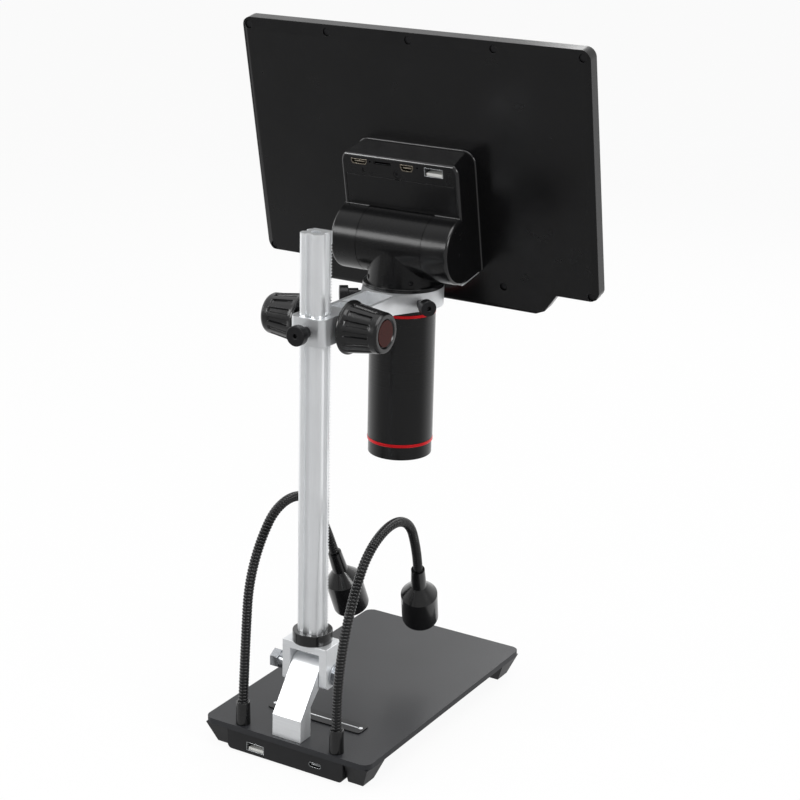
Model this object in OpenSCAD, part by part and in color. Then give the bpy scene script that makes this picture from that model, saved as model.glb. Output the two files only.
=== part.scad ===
// LCD digital microscope: base with two gooseneck lamps, tilting toothed column, focus carriage and screen head.
// Millimetres, +Z up. Origin on the bench under the middle of the base plate; the user sits on the -Y side.

/* [Base] */
// Width of the base plate
base_w = 120.2; // [118:0.1:140]
// Depth of the base plate
base_d = 196.4; // [192:0.1:215]
// Thickness of the base plate
plate_t = 3.8; // [3.2:0.1:5]
// Height of the plate's underside above the bench
foot_h = 14.4; // [14:0.1:18]
// Corner radius of the base plate
plate_r = 6; // [3:0.5:8]

/* [Column] */
// Distance from the plate's rear edge to the column axis
column_setback = 31.2; // [30:0.1:34]
// Height of the tilt pivot above the plate
pivot_rise = 36.5; // [35:0.1:42]
// Width across the flats of the column extrusion
column_w = 15.6; // [14.6:0.1:16.6]
// Length of the column above the clevis
column_len = 256.2; // [252:0.1:290]
// Radius of the black collar at the column's foot
collar_r = 12.4; // [12:0.1:13.5]

/* [Focus drive] */
// Height of the pinion axis above the clevis at rest
focus_rest = 198.7; // [190:0.1:212]
// Module of the rack and pinion teeth
tooth_m = 0.6; // [0.5:0.05:0.7]
// Number of pinion teeth
pinion_teeth = 21; // [20:1:22]
// Radius of the focus knob's flange
knob_r = 16.2; // [14:0.1:17]
// Length of one focus knob
knob_len = 25.8; // [22:0.1:30]

/* [Microscope head] */
// Distance from the column axis to the tube axis
reach = 100.1; // [98:0.1:110]
// Outer radius of the microscope tube
tube_r = 20.8; // [20.2:0.1:21.2]
// Length of the black tube between the two red rings
tube_len = 82.5; // [70:0.1:88]
// Length of the tube's end cap
cap_len = 8.6; // [8.4:0.1:12]
// Wall of the clamp ring that holds the head
ring_wall = 3; // [2.6:0.1:4]
// Height of the screen hinge above the clamp ring
hinge_rise = 26.5; // [26.2:0.1:30]
// Radius of the hinge barrel
barrel_r = 20.8; // [20.4:0.1:21.2]
// Width of the hinge barrel and port block
block_w = 83; // [80:0.5:92]

/* [Screen] */
// Width of the screen housing
screen_w = 241.8; // [238:0.1:262]
// Height of the screen housing without its chin
screen_h = 158.1; // [156:0.1:170]
// Height of the chin that carries the buttons
chin_h = 15.1; // [14.6:0.1:17]
// Backward lean of the screen at rest, in degrees
screen_lean = 11.3; // [9.5:0.1:30]
// Depth of the front bezel
bezel_t = 7.5; // [7.5:0.1:10]
// Radius of a front button
button_r = 3.2; // [2.4:0.1:3.6]

/* [Lamps] */
// Distance of each lamp sleeve from the middle of the base
lamp_x = 34.3; // [32:0.1:36]
// Radius of the gooseneck
neck_r = 3.1; // [2.6:0.1:3.5]
// Radius of a lamp head
lamp_r = 11.9; // [11:0.1:12.5]
// Length of a lamp head
lamp_len = 47.2; // [42:0.1:50]

/* [Hidden] */
$fn = 48;
// radial clearances: running fit, seated part, moving part, and a seam between parts
run = 0.08;
seat = 0.02;
gap = 0.3;
seam = 0.15;
eps = 0.01;

black = [0.07, 0.07, 0.08];
soft_black = [0.11, 0.11, 0.12];
plate_grey = [0.22, 0.23, 0.24];
silver = [0.82, 0.83, 0.85];
steel = [0.66, 0.67, 0.69];
brass_c = [0.78, 0.62, 0.3];
red = [0.75, 0.05, 0.06];
board_green = [0.05, 0.24, 0.16];

// base
plate_z = foot_h + plate_t;
pad_out = 0.6;
pad_t = 1.4;
foot_in_x = 17.2;
foot_out = [6.5, 5.8];
foot_len_y = 12.6;
pad_size = [8, 9.6];
pad_c = [base_w/2 - foot_out[0] - 5.35, base_d/2 - foot_out[1] - foot_len_y/2];
foot_screw_r = 1.45;
foot_screw_z = 7.4;
box_hw = base_w/2 - foot_in_x - 0.6;
box_y1 = base_d/2 - 0.4;
box_y0 = box_y1 - 25;
box_z0 = 1.5;
wall = 2;
board_t = 1.2;
board_z = foot_h - 5.1;
base_usb_x = 21.6;
base_usbc_x = -22.3;
usb_a = [13.1, 5.7, 14];
usb_c = [9, 3.2, 8];

// cover strip on the plate
strip = [68.4, 12, 0.8];
strip_y = 60.4;
rail_hx = 29.5;
rivet_x = 31.6;

// tilt bracket, clevis and pivot
column_y = base_d/2 - column_setback;
pivot_z = plate_z + pivot_rise;
pivot_r = 4;
bracket_hw = 10.3;
bracket_r = 9.3;
bracket_foot = [column_y + 17.3, column_y + 28.5];
bracket_screw_x = 5.5;
bracket_screw_y = (bracket_foot[0] + bracket_foot[1])/2;
bracket_screw_r = 2.4;
// rear slope of the bracket runs from its foot to a tangent point on the round end
bracket_heel = [bracket_foot[1] - column_y - 0.2, 14.2 - pivot_rise];
heel_len = norm(bracket_heel);
tangent_a = atan2(bracket_heel[1], bracket_heel[0]) + acos(bracket_r/heel_len);
clevis_hw = 16.1;
clevis_hd = 9.2;
clevis_top = 19.3;
clevis_slot = 14.4;
clevis_low = -7.8;
flange_r = 6.7;
clevis_z = pivot_z + clevis_top;

// column
column_r = 4;
rack_w = 12.4;
rack_h = 1.6;
groove_r = 2.2;
column_bore = 3;
collar_h = 7.2;
column_z1 = clevis_z + column_len;
pitch = PI*tooth_m;
tooth_free = [10, 8];

// focus carriage
focus_z = clevis_z + focus_rest;
pitch_r = tooth_m*pinion_teeth/2;
pinion_y = column_y - column_w/2 + tooth_m - pitch_r;
shaft_r = min(2.5, pitch_r - 1.25*tooth_m - 0.3);
bush_r = 4.5;
block_hw = 11.7;
block_y = [column_y - 21, column_y + 10];
block_z = [focus_z - 8.25, focus_z + 8.25];
arm_hw = 12.3;
arm_wall = 2.7;
arm_z = [focus_z - 6.2, focus_z + 5.3];
lock_r = 2;
knob_x0 = block_hw + 2.7;
knob_hub = [6.5, 2];
knob_drop = 2.6;
flutes = 14;
gear_hw = 5.5;

// head
head_y = column_y - reach;
ring_ri = tube_r + 1.8;
ring_ro = ring_ri + ring_wall;
spigot_r = ring_ri - gap;
flange_t = 2.6;
seat_z = arm_z[1];
lower_z = arm_z[0] - 3.7;
ring_t = 1.9;
tube_z1 = lower_z - ring_t;
tube_z0 = tube_z1 - tube_len;
cap_z1 = tube_z0 - ring_t;
cap_z0 = cap_z1 - cap_len;
tube_bore = tube_r - 2.3;
cap_r = tube_r - 0.5;
clamp_angle = 54;
clamp_z = focus_z - 0.6;
hinge_z = seat_z + hinge_rise;
centre_hw = 22.9;
hinge_shaft_r = 4;
boss_r = 19.5;
boss_h = 6;

neck_z = seat_z + flange_t;
grub_z = neck_z + 3.4;
grub_angles = [-42, 42, 180];

// screen head, in its own frame: x across, y to the rear, z up the screen, origin on the hinge
rear_w = -barrel_r - 1.6;
cover_t = 1.6;
part_w = rear_w - cover_t;
front_w = part_w - bezel_t;
lip_t = 1.5;
lip_w = front_w + lip_t;
mid_v = screen_h/2 - 31.25;
top_v = mid_v + screen_h/2;
low_v = mid_v - screen_h/2;
chin_v = low_v - chin_h;
half_w = screen_w/2;
chin_hw = [half_w - 27.6, half_w - 37, half_w - 44];
display = [screen_w - 24.4, screen_h - 21.9];
panel = [screen_w - 15.8, screen_h - 16.5];
panel_t = 3.6;
screw_u = half_w - 4.7;
screw_v = [top_v - 4.7, low_v + 2.9];
cover_screws_at = [for (u = [-1, -0.5, 0, 0.5, 1]) [u*screw_u, screw_v[0]],
                   [-screw_u, screw_v[1]], [screw_u, screw_v[1]],
                   [-0.48*screw_u, low_v + 0.4], [0.48*screw_u, low_v + 0.4]];
button_v = low_v - chin_h/2;
button_pitch = 16;
button_travel = 0.8;
main_board_hw = 0.455*half_w;
main_board_v = [0.063*screen_h, 0.443*screen_h];
chip = [16, 1];
chip_x = [-38, 2];

// port block on the back of the screen
block_top = 56.4;
block_low = -barrel_r - 0.3;
face_w = -0.6;
face_top = 54.6;
block_hu = block_w/2;
block_r = 8;
port_wall = 2.4;
port_v = 51.4;
hdmi_u = 28.4;
card_u = 11.4;
mini_u = -5.7;
usb_u = -24.5;
hdmi = [11.2, 3.4, 8];
mini = [9, 4.2, 9];
card = [12.2, 1.9, 15];
hatch_v = [barrel_r + 0.6, 41];
hatch_t = 1.2;
hatch_screw = [1.5, 44.4];

// lamp necks: [bend radius, bend angle, roll before the bend] from the sleeve up
lamp_y = base_d/2 - 5.9;
sleeve_h = 15;
sleeve_r = neck_r + 1.55;
right_lean = 7.1;
right_turn = -18.3;
right_path = [[902.5, 3.8, 0], [99.8, 30.8, -30.3], [29, 111, 6.6], [431.2, 5.1, 12.7]];
left_lean = -2.8;
left_turn = 2.9;
left_path = [[171, 32.2, 0], [40.4, 36.8, 4.9], [40.8, 81.1, 4.5], [217.2, 9.2, 16.4]];
// along a lamp head: end of its stem, start of its full width, floor of its hollow
lamp_steps = [0.32*lamp_len, 0.497*lamp_len, 0.64*lamp_len];

// ---- helpers ----

// rectangle with round corners
module rrect(w, d, r) {
    square([w - 2*r, d], center = true);
    square([w, d - 2*r], center = true);
    for (x = [-1, 1], y = [-1, 1]) translate([x*(w/2 - r), y*(d/2 - r)]) circle(r);
}

// upright slot shape, half width hw, from y0 to y1, with two round corners at the y1 end
module top_round(hw, y0, y1, r) {
    translate([-hw, y0]) square([2*hw, y1 - r - y0]);
    translate([r - hw, y1 - r - eps]) square([2*(hw - r), r + eps]);
    for (s = [-1, 1]) translate([s*(hw - r), y1 - r]) circle(r);
}

module box(x, y, z) translate([x[0], y[0], z[0]]) cube([x[1] - x[0], y[1] - y[0], z[1] - z[0]]);
module xrod(r, x0, x1, n = $fn) translate([x0, 0, 0]) rotate([0, 90, 0]) cylinder(r = r, h = x1 - x0, $fn = n);
module yrod(r, y0, y1, n = $fn) translate([0, y1, 0]) rotate([90, 0, 0]) cylinder(r = r, h = y1 - y0, $fn = n);
module zrod(r, z0, z1, n = $fn) translate([0, 0, z0]) cylinder(r = r, h = z1 - z0, $fn = n);

// a shape drawn in (y, z), run along X
module along_x(x0, x1) translate([x0, 0, 0]) rotate([90, 0, 90]) linear_extrude(x1 - x0) children();
// a shape drawn in (x, z), run along Y
module along_y(y0, y1) translate([0, y1, 0]) rotate([90, 0, 0]) linear_extrude(y1 - y0) children();

module both_x() {
    children();
    mirror([1, 0, 0]) children();
}
module both_y() {
    children();
    mirror([0, 1, 0]) children();
}
module at_pivot() translate([0, column_y, pivot_z]) children();
module at_pinion() translate([0, pinion_y, focus_z]) children();
module at_head() translate([0, head_y, 0]) children();
module at_screen() translate([0, head_y, hinge_z]) rotate([-screen_lean, 0, 0]) children();

// hanging sockets, open to the rear (+Y), top face at z = 0
module usb_a_socket() {
    difference() {
        box([-usb_a[0]/2, usb_a[0]/2], [-usb_a[2], 0], [-usb_a[1], 0]);
        box([-usb_a[0]/2 + 0.4, usb_a[0]/2 - 0.4], [-usb_a[2] + 2, 1], [0.4 - usb_a[1], -0.4]);
    }
    box([-5.5, 5.5], [-usb_a[2] + 1.9, -1], [0.3 - usb_a[1], 2.2 - usb_a[1]]);
}
module pill_socket(size, tongue) {
    r = size[1]/2;
    translate([0, 0, -r]) {
        difference() {
            along_y(-size[2], 0) rrect(size[0], size[1], r - eps);
            along_y(1 - size[2], 1) rrect(size[0] - 0.7, size[1] - 0.7, r - 0.35 - eps);
        }
        box([-tongue, tongue], [0.9 - size[2], -0.8], [-0.35, 0.35]);
    }
}
module wedge_2d(size, inset) {
    w = size[0]/2 - inset;
    h = size[1] - inset;
    polygon([[-w, -inset], [-w, -0.5*size[1]], [0.3*size[1] - w, -h], [w - 0.3*size[1], -h],
             [w, -0.5*size[1]], [w, -inset]]);
}
module wedge_socket(size) {
    difference() {
        along_y(-size[2], 0) wedge_2d(size, 0);
        along_y(1 - size[2], 1) wedge_2d(size, 0.4);
    }
    box([-0.32*size[0], 0.32*size[0]], [0.9 - size[2], -0.8], [-0.62*size[1], -0.4*size[1]]);
}

// ---- base ----

module bracket_screw_places() for (s = [-1, 1]) translate([s*bracket_screw_x, bracket_screw_y, 0]) children();
module foot_places() both_x() both_y() children();

module base_plate() color(plate_grey) difference() {
    translate([0, 0, foot_h]) linear_extrude(plate_t) rrect(base_w, base_d, plate_r);
    bracket_screw_places() zrod(bracket_screw_r + 0.1, foot_h - 1, plate_z + 1);
    for (s = [-1, 1]) translate([s*lamp_x, lamp_y, 0]) zrod(2, foot_h - 1, plate_z + 1);
    foot_places() translate([pad_c[0], pad_c[1], 0]) zrod(foot_screw_r + 0.05, foot_h - 1, foot_h + 2.6);
}

module foot_solid() {
    hx = base_w/2;
    hy = base_d/2;
    y0 = hy - foot_out[1] - foot_len_y;
    intersection() {
        along_y(0, hy) polygon([[hx - foot_in_x, pad_out], [hx - foot_out[0], pad_out], [hx - 0.8, foot_h],
                                [hx - foot_in_x, foot_h]]);
        along_x(0, hx) polygon([[y0, pad_out], [hy - foot_out[1], pad_out], [hy - 0.8, foot_h],
                                [y0 - 4.6, foot_h]]);
    }
}

module base_feet() color(black) foot_places() difference() {
    foot_solid();
    translate([pad_c[0], pad_c[1], 0]) {
        linear_extrude(pad_t) square(pad_size, center = true);
        zrod(2.9, 0, foot_screw_z);
        zrod(foot_screw_r + 0.05, 0, foot_h + 1);
    }
}

module foot_pads() color(soft_black) foot_places() translate([pad_c[0], pad_c[1], 0])
    linear_extrude(pad_t) square([pad_size[0] - seam, pad_size[1] - seam], center = true);

module base_screws() color(steel) {
    foot_places() translate([pad_c[0], pad_c[1], 0]) {
        zrod(2.7, foot_screw_z - 2.2, foot_screw_z);
        zrod(foot_screw_r, foot_screw_z - eps, foot_h + 2.4);
    }
    bracket_screw_places() {
        zrod(4.2, foot_h - 2.9, foot_h);
        zrod(bracket_screw_r, foot_h - eps, plate_z + 13);
    }
}

module port_box() color(black) difference() {
    along_y(box_y0, box_y1) {
        translate([-box_hw, box_z0 + 3]) square([2*box_hw, foot_h - box_z0 - 3]);
        translate([3 - box_hw, box_z0]) square([2*box_hw - 6, 4]);
        for (s = [-1, 1]) translate([s*(box_hw - 3), box_z0 + 3]) circle(3);
    }
    box([wall + 3.2 - box_hw, box_hw - wall - 3.2], [box_y0 + wall, box_y1 - wall], [box_z0 + wall, foot_h + 1]);
    box([wall - box_hw, box_hw - wall], [box_y0 + wall, box_y1 - wall], [board_z, foot_h + 1]);
    translate([base_usb_x, box_y1, board_z])
        box([-usb_a[0]/2 - seam, usb_a[0]/2 + seam], [-wall - 1, 1], [-usb_a[1] - seam, eps]);
    translate([base_usbc_x, 0, board_z - usb_c[1]/2])
        along_y(box_y1 - wall - 1, box_y1 + 1) rrect(usb_c[0] + 2*seam, usb_c[1] + 2*seam, usb_c[1]/2);
}

module base_board() color(board_green)
    box([wall + seam - box_hw, box_hw - wall - seam], [box_y0 + wall + seam, box_y1 - wall - seam],
        [board_z, board_z + board_t]);

module base_sockets() color(steel) {
    translate([base_usb_x, box_y1, board_z]) usb_a_socket();
    translate([base_usbc_x, box_y1, board_z]) pill_socket(usb_c, 3);
}

module cover_strip() color(black) translate([0, strip_y, plate_z]) difference() {
    linear_extrude(strip[2]) rrect(strip[0], strip[1], 2.5);
    box([-rail_hx - 0.1, rail_hx + 0.1], [-0.55, 0.55], [-1, 2]);
    for (s = [-1, 1]) translate([s*rivet_x, 0, 0]) zrod(1.1, -1, 2);
}

module strip_rail() color(silver) translate([0, strip_y, plate_z]) {
    box([-rail_hx, rail_hx], [-0.45, 0.45], [0, strip[2] + 0.2]);
    for (s = [-1, 1]) translate([s*rivet_x, 0, 0]) {
        zrod(1, 0, strip[2] + eps);
        zrod(1.4, strip[2], strip[2] + 0.4);
    }
}

module column_bracket() color(silver) difference() {
    at_pivot() {
        along_x(-bracket_hw, bracket_hw) {
            polygon([[bracket_foot[0] - column_y, -pivot_rise], [bracket_foot[1] - column_y, -pivot_rise],
                     bracket_heel, bracket_r*[cos(tangent_a), sin(tangent_a)], [0, 0],
                     [bracket_foot[0] - column_y, 19.6 - pivot_rise]]);
            circle(bracket_r);
        }
    }
    at_pivot() xrod(pivot_r + seat, -bracket_hw - 1, bracket_hw + 1);
    bracket_screw_places() zrod(bracket_screw_r + 0.1, plate_z - 1, plate_z + 14);
}

module lamp_sleeves() color(black) for (s = [-1, 1]) translate([s*lamp_x, lamp_y, plate_z]) difference() {
    cylinder(r1 = sleeve_r, r2 = sleeve_r - 0.35, h = sleeve_h);
    zrod(neck_r + run, 3, sleeve_h + 1);
    zrod(2, -1, 4);
}

module pivot_bolt() color(steel) at_pivot() difference() {
    union() {
        xrod(pivot_r, -clevis_hw - 1, clevis_hw + 12.2);
        xrod(flange_r, -clevis_hw - 1.3, -clevis_hw);
        xrod(4.7, -clevis_hw - 4, -clevis_hw - 1.2, 6);
    }
    xrod(2.6, -clevis_hw - 5, -clevis_hw - 2, 6);
}

module pivot_nut_set() color(steel) at_pivot() difference() {
    union() {
        xrod(6.4, clevis_hw, clevis_hw + 1.4);
        xrod(5.2, clevis_hw + 1.4 + seat, clevis_hw + 6.4);
        xrod(6.3, clevis_hw + 6.4 + seat, clevis_hw + 12, 6);
    }
    xrod(pivot_r + seat, clevis_hw - 1, clevis_hw + 15);
}

// ---- column ----

// section of the column: round corners, and the rack as a flat strip along the front
module column_2d(grow) {
    translate([0, rack_h/2]) rrect(column_w + 2*grow, column_w - rack_h + 2*grow, column_r);
    translate([-rack_w/2 - grow, -column_w/2 - grow]) square([rack_w + 2*grow, rack_h + 2 + 2*grow]);
}

module clevis() color(silver) at_pivot() difference() {
    along_x(-clevis_hw, clevis_hw)
        polygon([[1.5 - clevis_hd, clevis_low], [clevis_hd - 1.5, clevis_low], [clevis_hd, clevis_low + 1.5],
                 [clevis_hd, clevis_top], [-clevis_hd, clevis_top], [-clevis_hd, clevis_low + 1.5]]);
    box([-bracket_hw - gap, bracket_hw + gap], [-20, 20], [clevis_low - 1, clevis_slot]);
    xrod(pivot_r + run, -clevis_hw - 1, clevis_hw + 1);
    zrod(column_bore + seat, 0, clevis_top + 1);
}

module column_screw() color(steel) at_pivot() {
    zrod(5, clevis_slot - 3, clevis_slot);
    zrod(column_bore - seat, clevis_slot - eps, clevis_top + 22);
}

module collar() color(soft_black) translate([0, column_y, clevis_z]) difference() {
    zrod(collar_r, 0, collar_h);
    translate([0, 0, -1]) linear_extrude(collar_h + 2) column_2d(seam);
}

// gaps between the rack teeth, drawn in (y, z) as one comb
module rack_gaps() {
    n0 = -floor((focus_rest - tooth_free[0])/pitch);
    n1 = floor((column_z1 - tooth_free[1] - focus_z)/pitch);
    root = pitch/4 - 1.25*tooth_m*tan(20);
    tip = pitch/4 + tooth_m*tan(20);
    polygon([[-2, (n0 - 1)*pitch], for (i = [n0:n1], p = [[0, -tip], [1.85*tooth_m + 0.4*tooth_m, -root],
             [2.25*tooth_m, root], [0, tip]]) [p[0], i*pitch + p[1]], [-2, (n1 + 1)*pitch]]);
}

module column() color(silver) translate([0, column_y, 0]) difference() {
    translate([0, 0, clevis_z]) linear_extrude(column_len) difference() {
        column_2d(0);
        for (a = [0, 90, 180]) rotate(a) translate([column_w/2 + 0.4, 0]) circle(groove_r);
        circle(column_bore);
    }
    translate([0, -column_w/2, focus_z]) along_x(-column_w, column_w) rack_gaps();
}

// ---- focus carriage ----

module clamp_places() for (s = [-1, 1]) at_head() translate([0, 0, clamp_z]) rotate([0, 0, s*clamp_angle]) children();

module carriage() color(silver) difference() {
    union() {
        translate([0, 0, block_z[0]]) linear_extrude(block_z[1] - block_z[0]) {
            translate([-block_hw, block_y[0]]) square([2*block_hw, block_y[1] - 4 - block_y[0]]);
            translate([4 - block_hw, block_y[1] - 5]) square([2*block_hw - 8, 5]);
            for (s = [-1, 1]) translate([s*(block_hw - 4), block_y[1] - 4]) circle(4);
        }
        translate([0, 0, arm_z[0]]) linear_extrude(arm_z[1] - arm_z[0]) difference() {
            translate([0, head_y]) union() {
                circle(ring_ro);
                polygon([[0, 0], ring_ro*[cos(39), sin(39)], [arm_hw, ring_ro + 5],
                         [arm_hw, block_y[0] + 1 - head_y], [-arm_hw, block_y[0] + 1 - head_y],
                         [-arm_hw, ring_ro + 5], ring_ro*[-cos(39), sin(39)]]);
            }
            for (y = [[block_y[0] - 20.5, block_y[0] - 3], [head_y + ring_ro + 2.5, block_y[0] - 23.2]])
                translate([arm_wall - arm_hw, y[0]]) square([2*(arm_hw - arm_wall), y[1] - y[0]]);
        }
    }
    at_head() zrod(ring_ri, arm_z[0] - 1, arm_z[1] + 1);
    translate([0, column_y, block_z[0] - 1]) linear_extrude(block_z[1] - block_z[0] + 2)
        column_2d(seam);
    at_pinion() {
        xrod(bush_r + seat, -block_hw - 1, block_hw + 1);
        xrod(pitch_r + tooth_m + gap, -gear_hw - gap, gear_hw + gap);
    }
    translate([0, 0, focus_z]) yrod(lock_r + run, column_y, block_y[1] + 1);
    clamp_places() yrod(lock_r + run, ring_ri - 1, ring_ro + 1);
}

module pinion_bushes() color(brass_c) at_pinion() both_x() difference() {
    xrod(bush_r, 7, block_hw);
    xrod(shaft_r + run, 6, block_hw + 1);
}

module pinion_shaft() color(steel) at_pinion() {
    xrod(shaft_r, 2.8 - knob_x0 - knob_len, knob_x0 + knob_len - 2.8);
    along_x(-gear_hw, gear_hw) {
        circle(pitch_r - 1.25*tooth_m);
        for (i = [0:pinion_teeth - 1]) rotate(i*360/pinion_teeth) tooth_2d();
    }
}

// one pinion tooth along +Y of the drawing plane's first axis
module tooth_2d() {
    k = tooth_m/0.6;
    tip = pitch_r + tooth_m;
    root = pitch_r - 1.25*tooth_m - 0.2;
    polygon([[root, -0.6*k], [pitch_r, -0.33*k], [tip, -0.16*k], [tip, 0.16*k], [pitch_r, 0.33*k], [root, 0.6*k]]);
}

module focus_knobs() color(soft_black) at_pinion() both_x() {
    difference() {
        union() {
            xrod(knob_hub[0], knob_x0 - knob_hub[1], knob_x0 + 1);
            xrod(knob_r, knob_x0 + 0.4, knob_x0 + 2.8);
            translate([knob_x0 + 2.7, 0, 0]) rotate([0, 90, 0])
                cylinder(r1 = knob_r - 1, r2 = knob_r - 1 - knob_drop, h = knob_len - 2.7);
        }
        xrod(shaft_r + seat, 0, knob_x0 + knob_len - 2.7);
        xrod(8.2, knob_x0 + knob_len - 1, knob_x0 + knob_len + 1);
        for (i = [0:flutes - 1]) rotate([(i + 0.5)*360/flutes, 0, 0])
            translate([knob_x0 + 4.5, 0, knob_r - 2.2]) rotate([0, atan(knob_drop/(knob_len - 2.7)), 0])
                box([0, knob_len - 9], [-1.4, 1.4], [0, 4]);
    }
}

module knob_discs() color([0.4, 0.1, 0.06]) at_pinion() both_x()
    xrod(8, knob_x0 + knob_len - 1, knob_x0 + knob_len - 0.3);

module thumb_screw(thread, neck_from, head_from, neck, head, head_t) {
    difference() {
        union() {
            yrod(lock_r, thread, neck_from + 1);
            yrod(neck, neck_from, head_from + 1);
            yrod(head, head_from, head_from + head_t);
        }
        yrod(1.5, head_from + head_t - 2.4, head_from + head_t + 1, 6);
    }
}

module lock_screw() color(black) translate([0, 0, focus_z])
    thumb_screw(column_y + column_w/2 + seam + 0.1, block_y[1] + gap, block_y[1] + 6.5, 3.7, 6.1, 5.1);

module clamp_screw(side) color(black) at_head() translate([0, 0, clamp_z]) rotate([0, 0, side*clamp_angle])
    thumb_screw(ring_ri + 0.1, ring_ro + 2.4, ring_ro + 8.8, 3.2, 5, 5.6);
module clamp_screw_left() clamp_screw(1);
module clamp_screw_right() clamp_screw(-1);

// ---- microscope head ----

module seat_ring() color(black) at_head() difference() {
    union() {
        zrod(tube_r, lower_z, arm_z[0] - 0.4);
        zrod(spigot_r, arm_z[0] - 0.5, seat_z + eps);
        zrod(ring_ro - 0.2, seat_z, seat_z + flange_t);
        zrod(boss_r, seat_z, seat_z + flange_t + boss_h);
    }
    zrod(boss_r - 3, lower_z - 1, seat_z + 20);
}

module neck() color(soft_black) difference() {
    at_head() union() {
        translate([0, 0, neck_z]) cylinder(r1 = ring_ro - 2.6, r2 = barrel_r - 0.5, h = hinge_z + 1.5 - neck_z);
        translate([0, 0, hinge_z]) xrod(barrel_r, -centre_hw, centre_hw);
    }
    at_head() {
        zrod(boss_r + seat, neck_z - 1, neck_z + boss_h + 0.5);
        zrod(9, neck_z, hinge_z);
        translate([0, 0, hinge_z]) {
            xrod(barrel_r - 3.5, 3 - centre_hw, centre_hw - 3);
            xrod(hinge_shaft_r + seat, -centre_hw - 1, centre_hw + 1);
        }
        for (a = grub_angles) translate([0, 0, grub_z]) rotate([0, 0, a]) yrod(1.6, boss_r - 2, ring_ro);
    }
}

module neck_screws() color(black) at_head() for (a = grub_angles) translate([0, 0, grub_z]) rotate([0, 0, a])
    difference() {
        yrod(1.55, boss_r + 0.02, boss_r + 2);
        yrod(0.8, boss_r + 1, boss_r + 3, 6);
    }

module red_rings() color(red) at_head() for (z = [tube_z1, cap_z1]) difference() {
    zrod(tube_r + 0.2, z, z + ring_t);
    zrod(tube_bore, z - 1, z + ring_t + 1);
}

module tube() color(black) at_head() difference() {
    zrod(tube_r, tube_z0, tube_z1);
    zrod(tube_bore, tube_z0 - 1, tube_z1 + 1);
}

module end_cap() color(black) at_head() difference() {
    zrod(cap_r, cap_z0, cap_z1);
    zrod(tube_bore - 2, cap_z0 - 1, cap_z1 + 1);
    zrod(tube_bore - 0.8, cap_z0 + 1, cap_z0 + 2.6 + seat);
    zrod(tube_bore - 0.8, cap_z1 - 2.6, cap_z1 + 1);
}

module window() color([0.75, 0.85, 0.9, 0.4]) at_head() zrod(tube_bore - 0.85, cap_z0 + 1, cap_z0 + 2.6);

module led_board() color([0.9, 0.9, 0.86]) at_head() {
    difference() {
        zrod(tube_bore - 0.85, cap_z1 - 2.6, cap_z1 - 1.4);
        zrod(8, cap_z1 - 3, cap_z1);
    }
    for (a = [0:45:315]) rotate([0, 0, a]) translate([12.5, 0, cap_z1 - 3.4]) cylinder(r = 1.4, h = 0.9);
}

module lens_barrel() color(black) at_head() difference() {
    union() {
        zrod(9.5, tube_z0 + 3, tube_z0 + 36);
        zrod(tube_bore - seat, tube_z0 + 35.5, tube_z0 + 39);
    }
    zrod(7, tube_z0, tube_z0 + 40);
}

module lenses() color([0.7, 0.8, 0.9, 0.5]) at_head() for (z = [5, 25]) zrod(7 - seat, tube_z0 + z, tube_z0 + z + 4);

module sensor_board() color(board_green) at_head() {
    zrod(tube_bore - seat, tube_z0 + 39, tube_z0 + 40.6);
    translate([-4.5, -4.5, tube_z0 + 37.6]) cube([9, 9, 1.5]);
}

module hinge_shaft() color(steel) at_head() translate([0, 0, hinge_z]) {
    xrod(hinge_shaft_r, 4.5 - block_hu, block_hu - 4.5);
    both_x() difference() {
        xrod(7.4, centre_hw + 3.4, centre_hw + 8, 6);
        xrod(hinge_shaft_r + seat, centre_hw, centre_hw + 9);
    }
}

// ---- screen head ----

// outline of the screen housing with its chin, drawn in (x, z)
module screen_2d() {
    translate([0, mid_v]) rrect(screen_w, screen_h, 6);
    polygon([[-chin_hw[0], low_v + 1], [-chin_hw[1], chin_v + 3.4], [-chin_hw[2], chin_v], [chin_hw[2], chin_v],
             [chin_hw[1], chin_v + 3.4], [chin_hw[0], low_v + 1]]);
}

module cover_places() for (p = cover_screws_at) translate([p[0], 0, p[1]]) children();

module rear_cover() color(black) at_screen() difference() {
    intersection() {
        along_y(part_w, rear_w) screen_2d();
        along_x(-half_w, half_w)
            polygon([[part_w, chin_v], [part_w + 0.4, chin_v], [rear_w, chin_v + 3], [rear_w, top_v - 8.5],
                     [part_w + 0.4, top_v], [part_w, top_v]]);
        translate([0, 0, chin_v]) linear_extrude(top_v - chin_v)
            polygon([[-half_w, part_w], [half_w, part_w], [half_w, part_w + 0.4], [half_w - 4, rear_w],
                     [4 - half_w, rear_w], [-half_w, part_w + 0.4]]);
    }
    cover_places() yrod(2.5, part_w - 1, rear_w + 1);
    box([-28, 28], [part_w - 1, rear_w + 1], [barrel_r + 8, port_v - 6]);
}

module cover_screws() color(steel) at_screen() {
    cover_places() {
        yrod(2.3, part_w - 0.8, part_w + 0.3);
        yrod(0.95, lip_w + 1, part_w - 0.7);
    }
    translate([hatch_screw[0], 0, hatch_screw[1]]) difference() {
        union() {
            yrod(2.3, face_w - 1.2, face_w - 0.2);
            yrod(1.1, face_w - port_wall, face_w - 1);
        }
        yrod(1.2, face_w - 0.9, face_w + 1, 6);
    }
}

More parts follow.
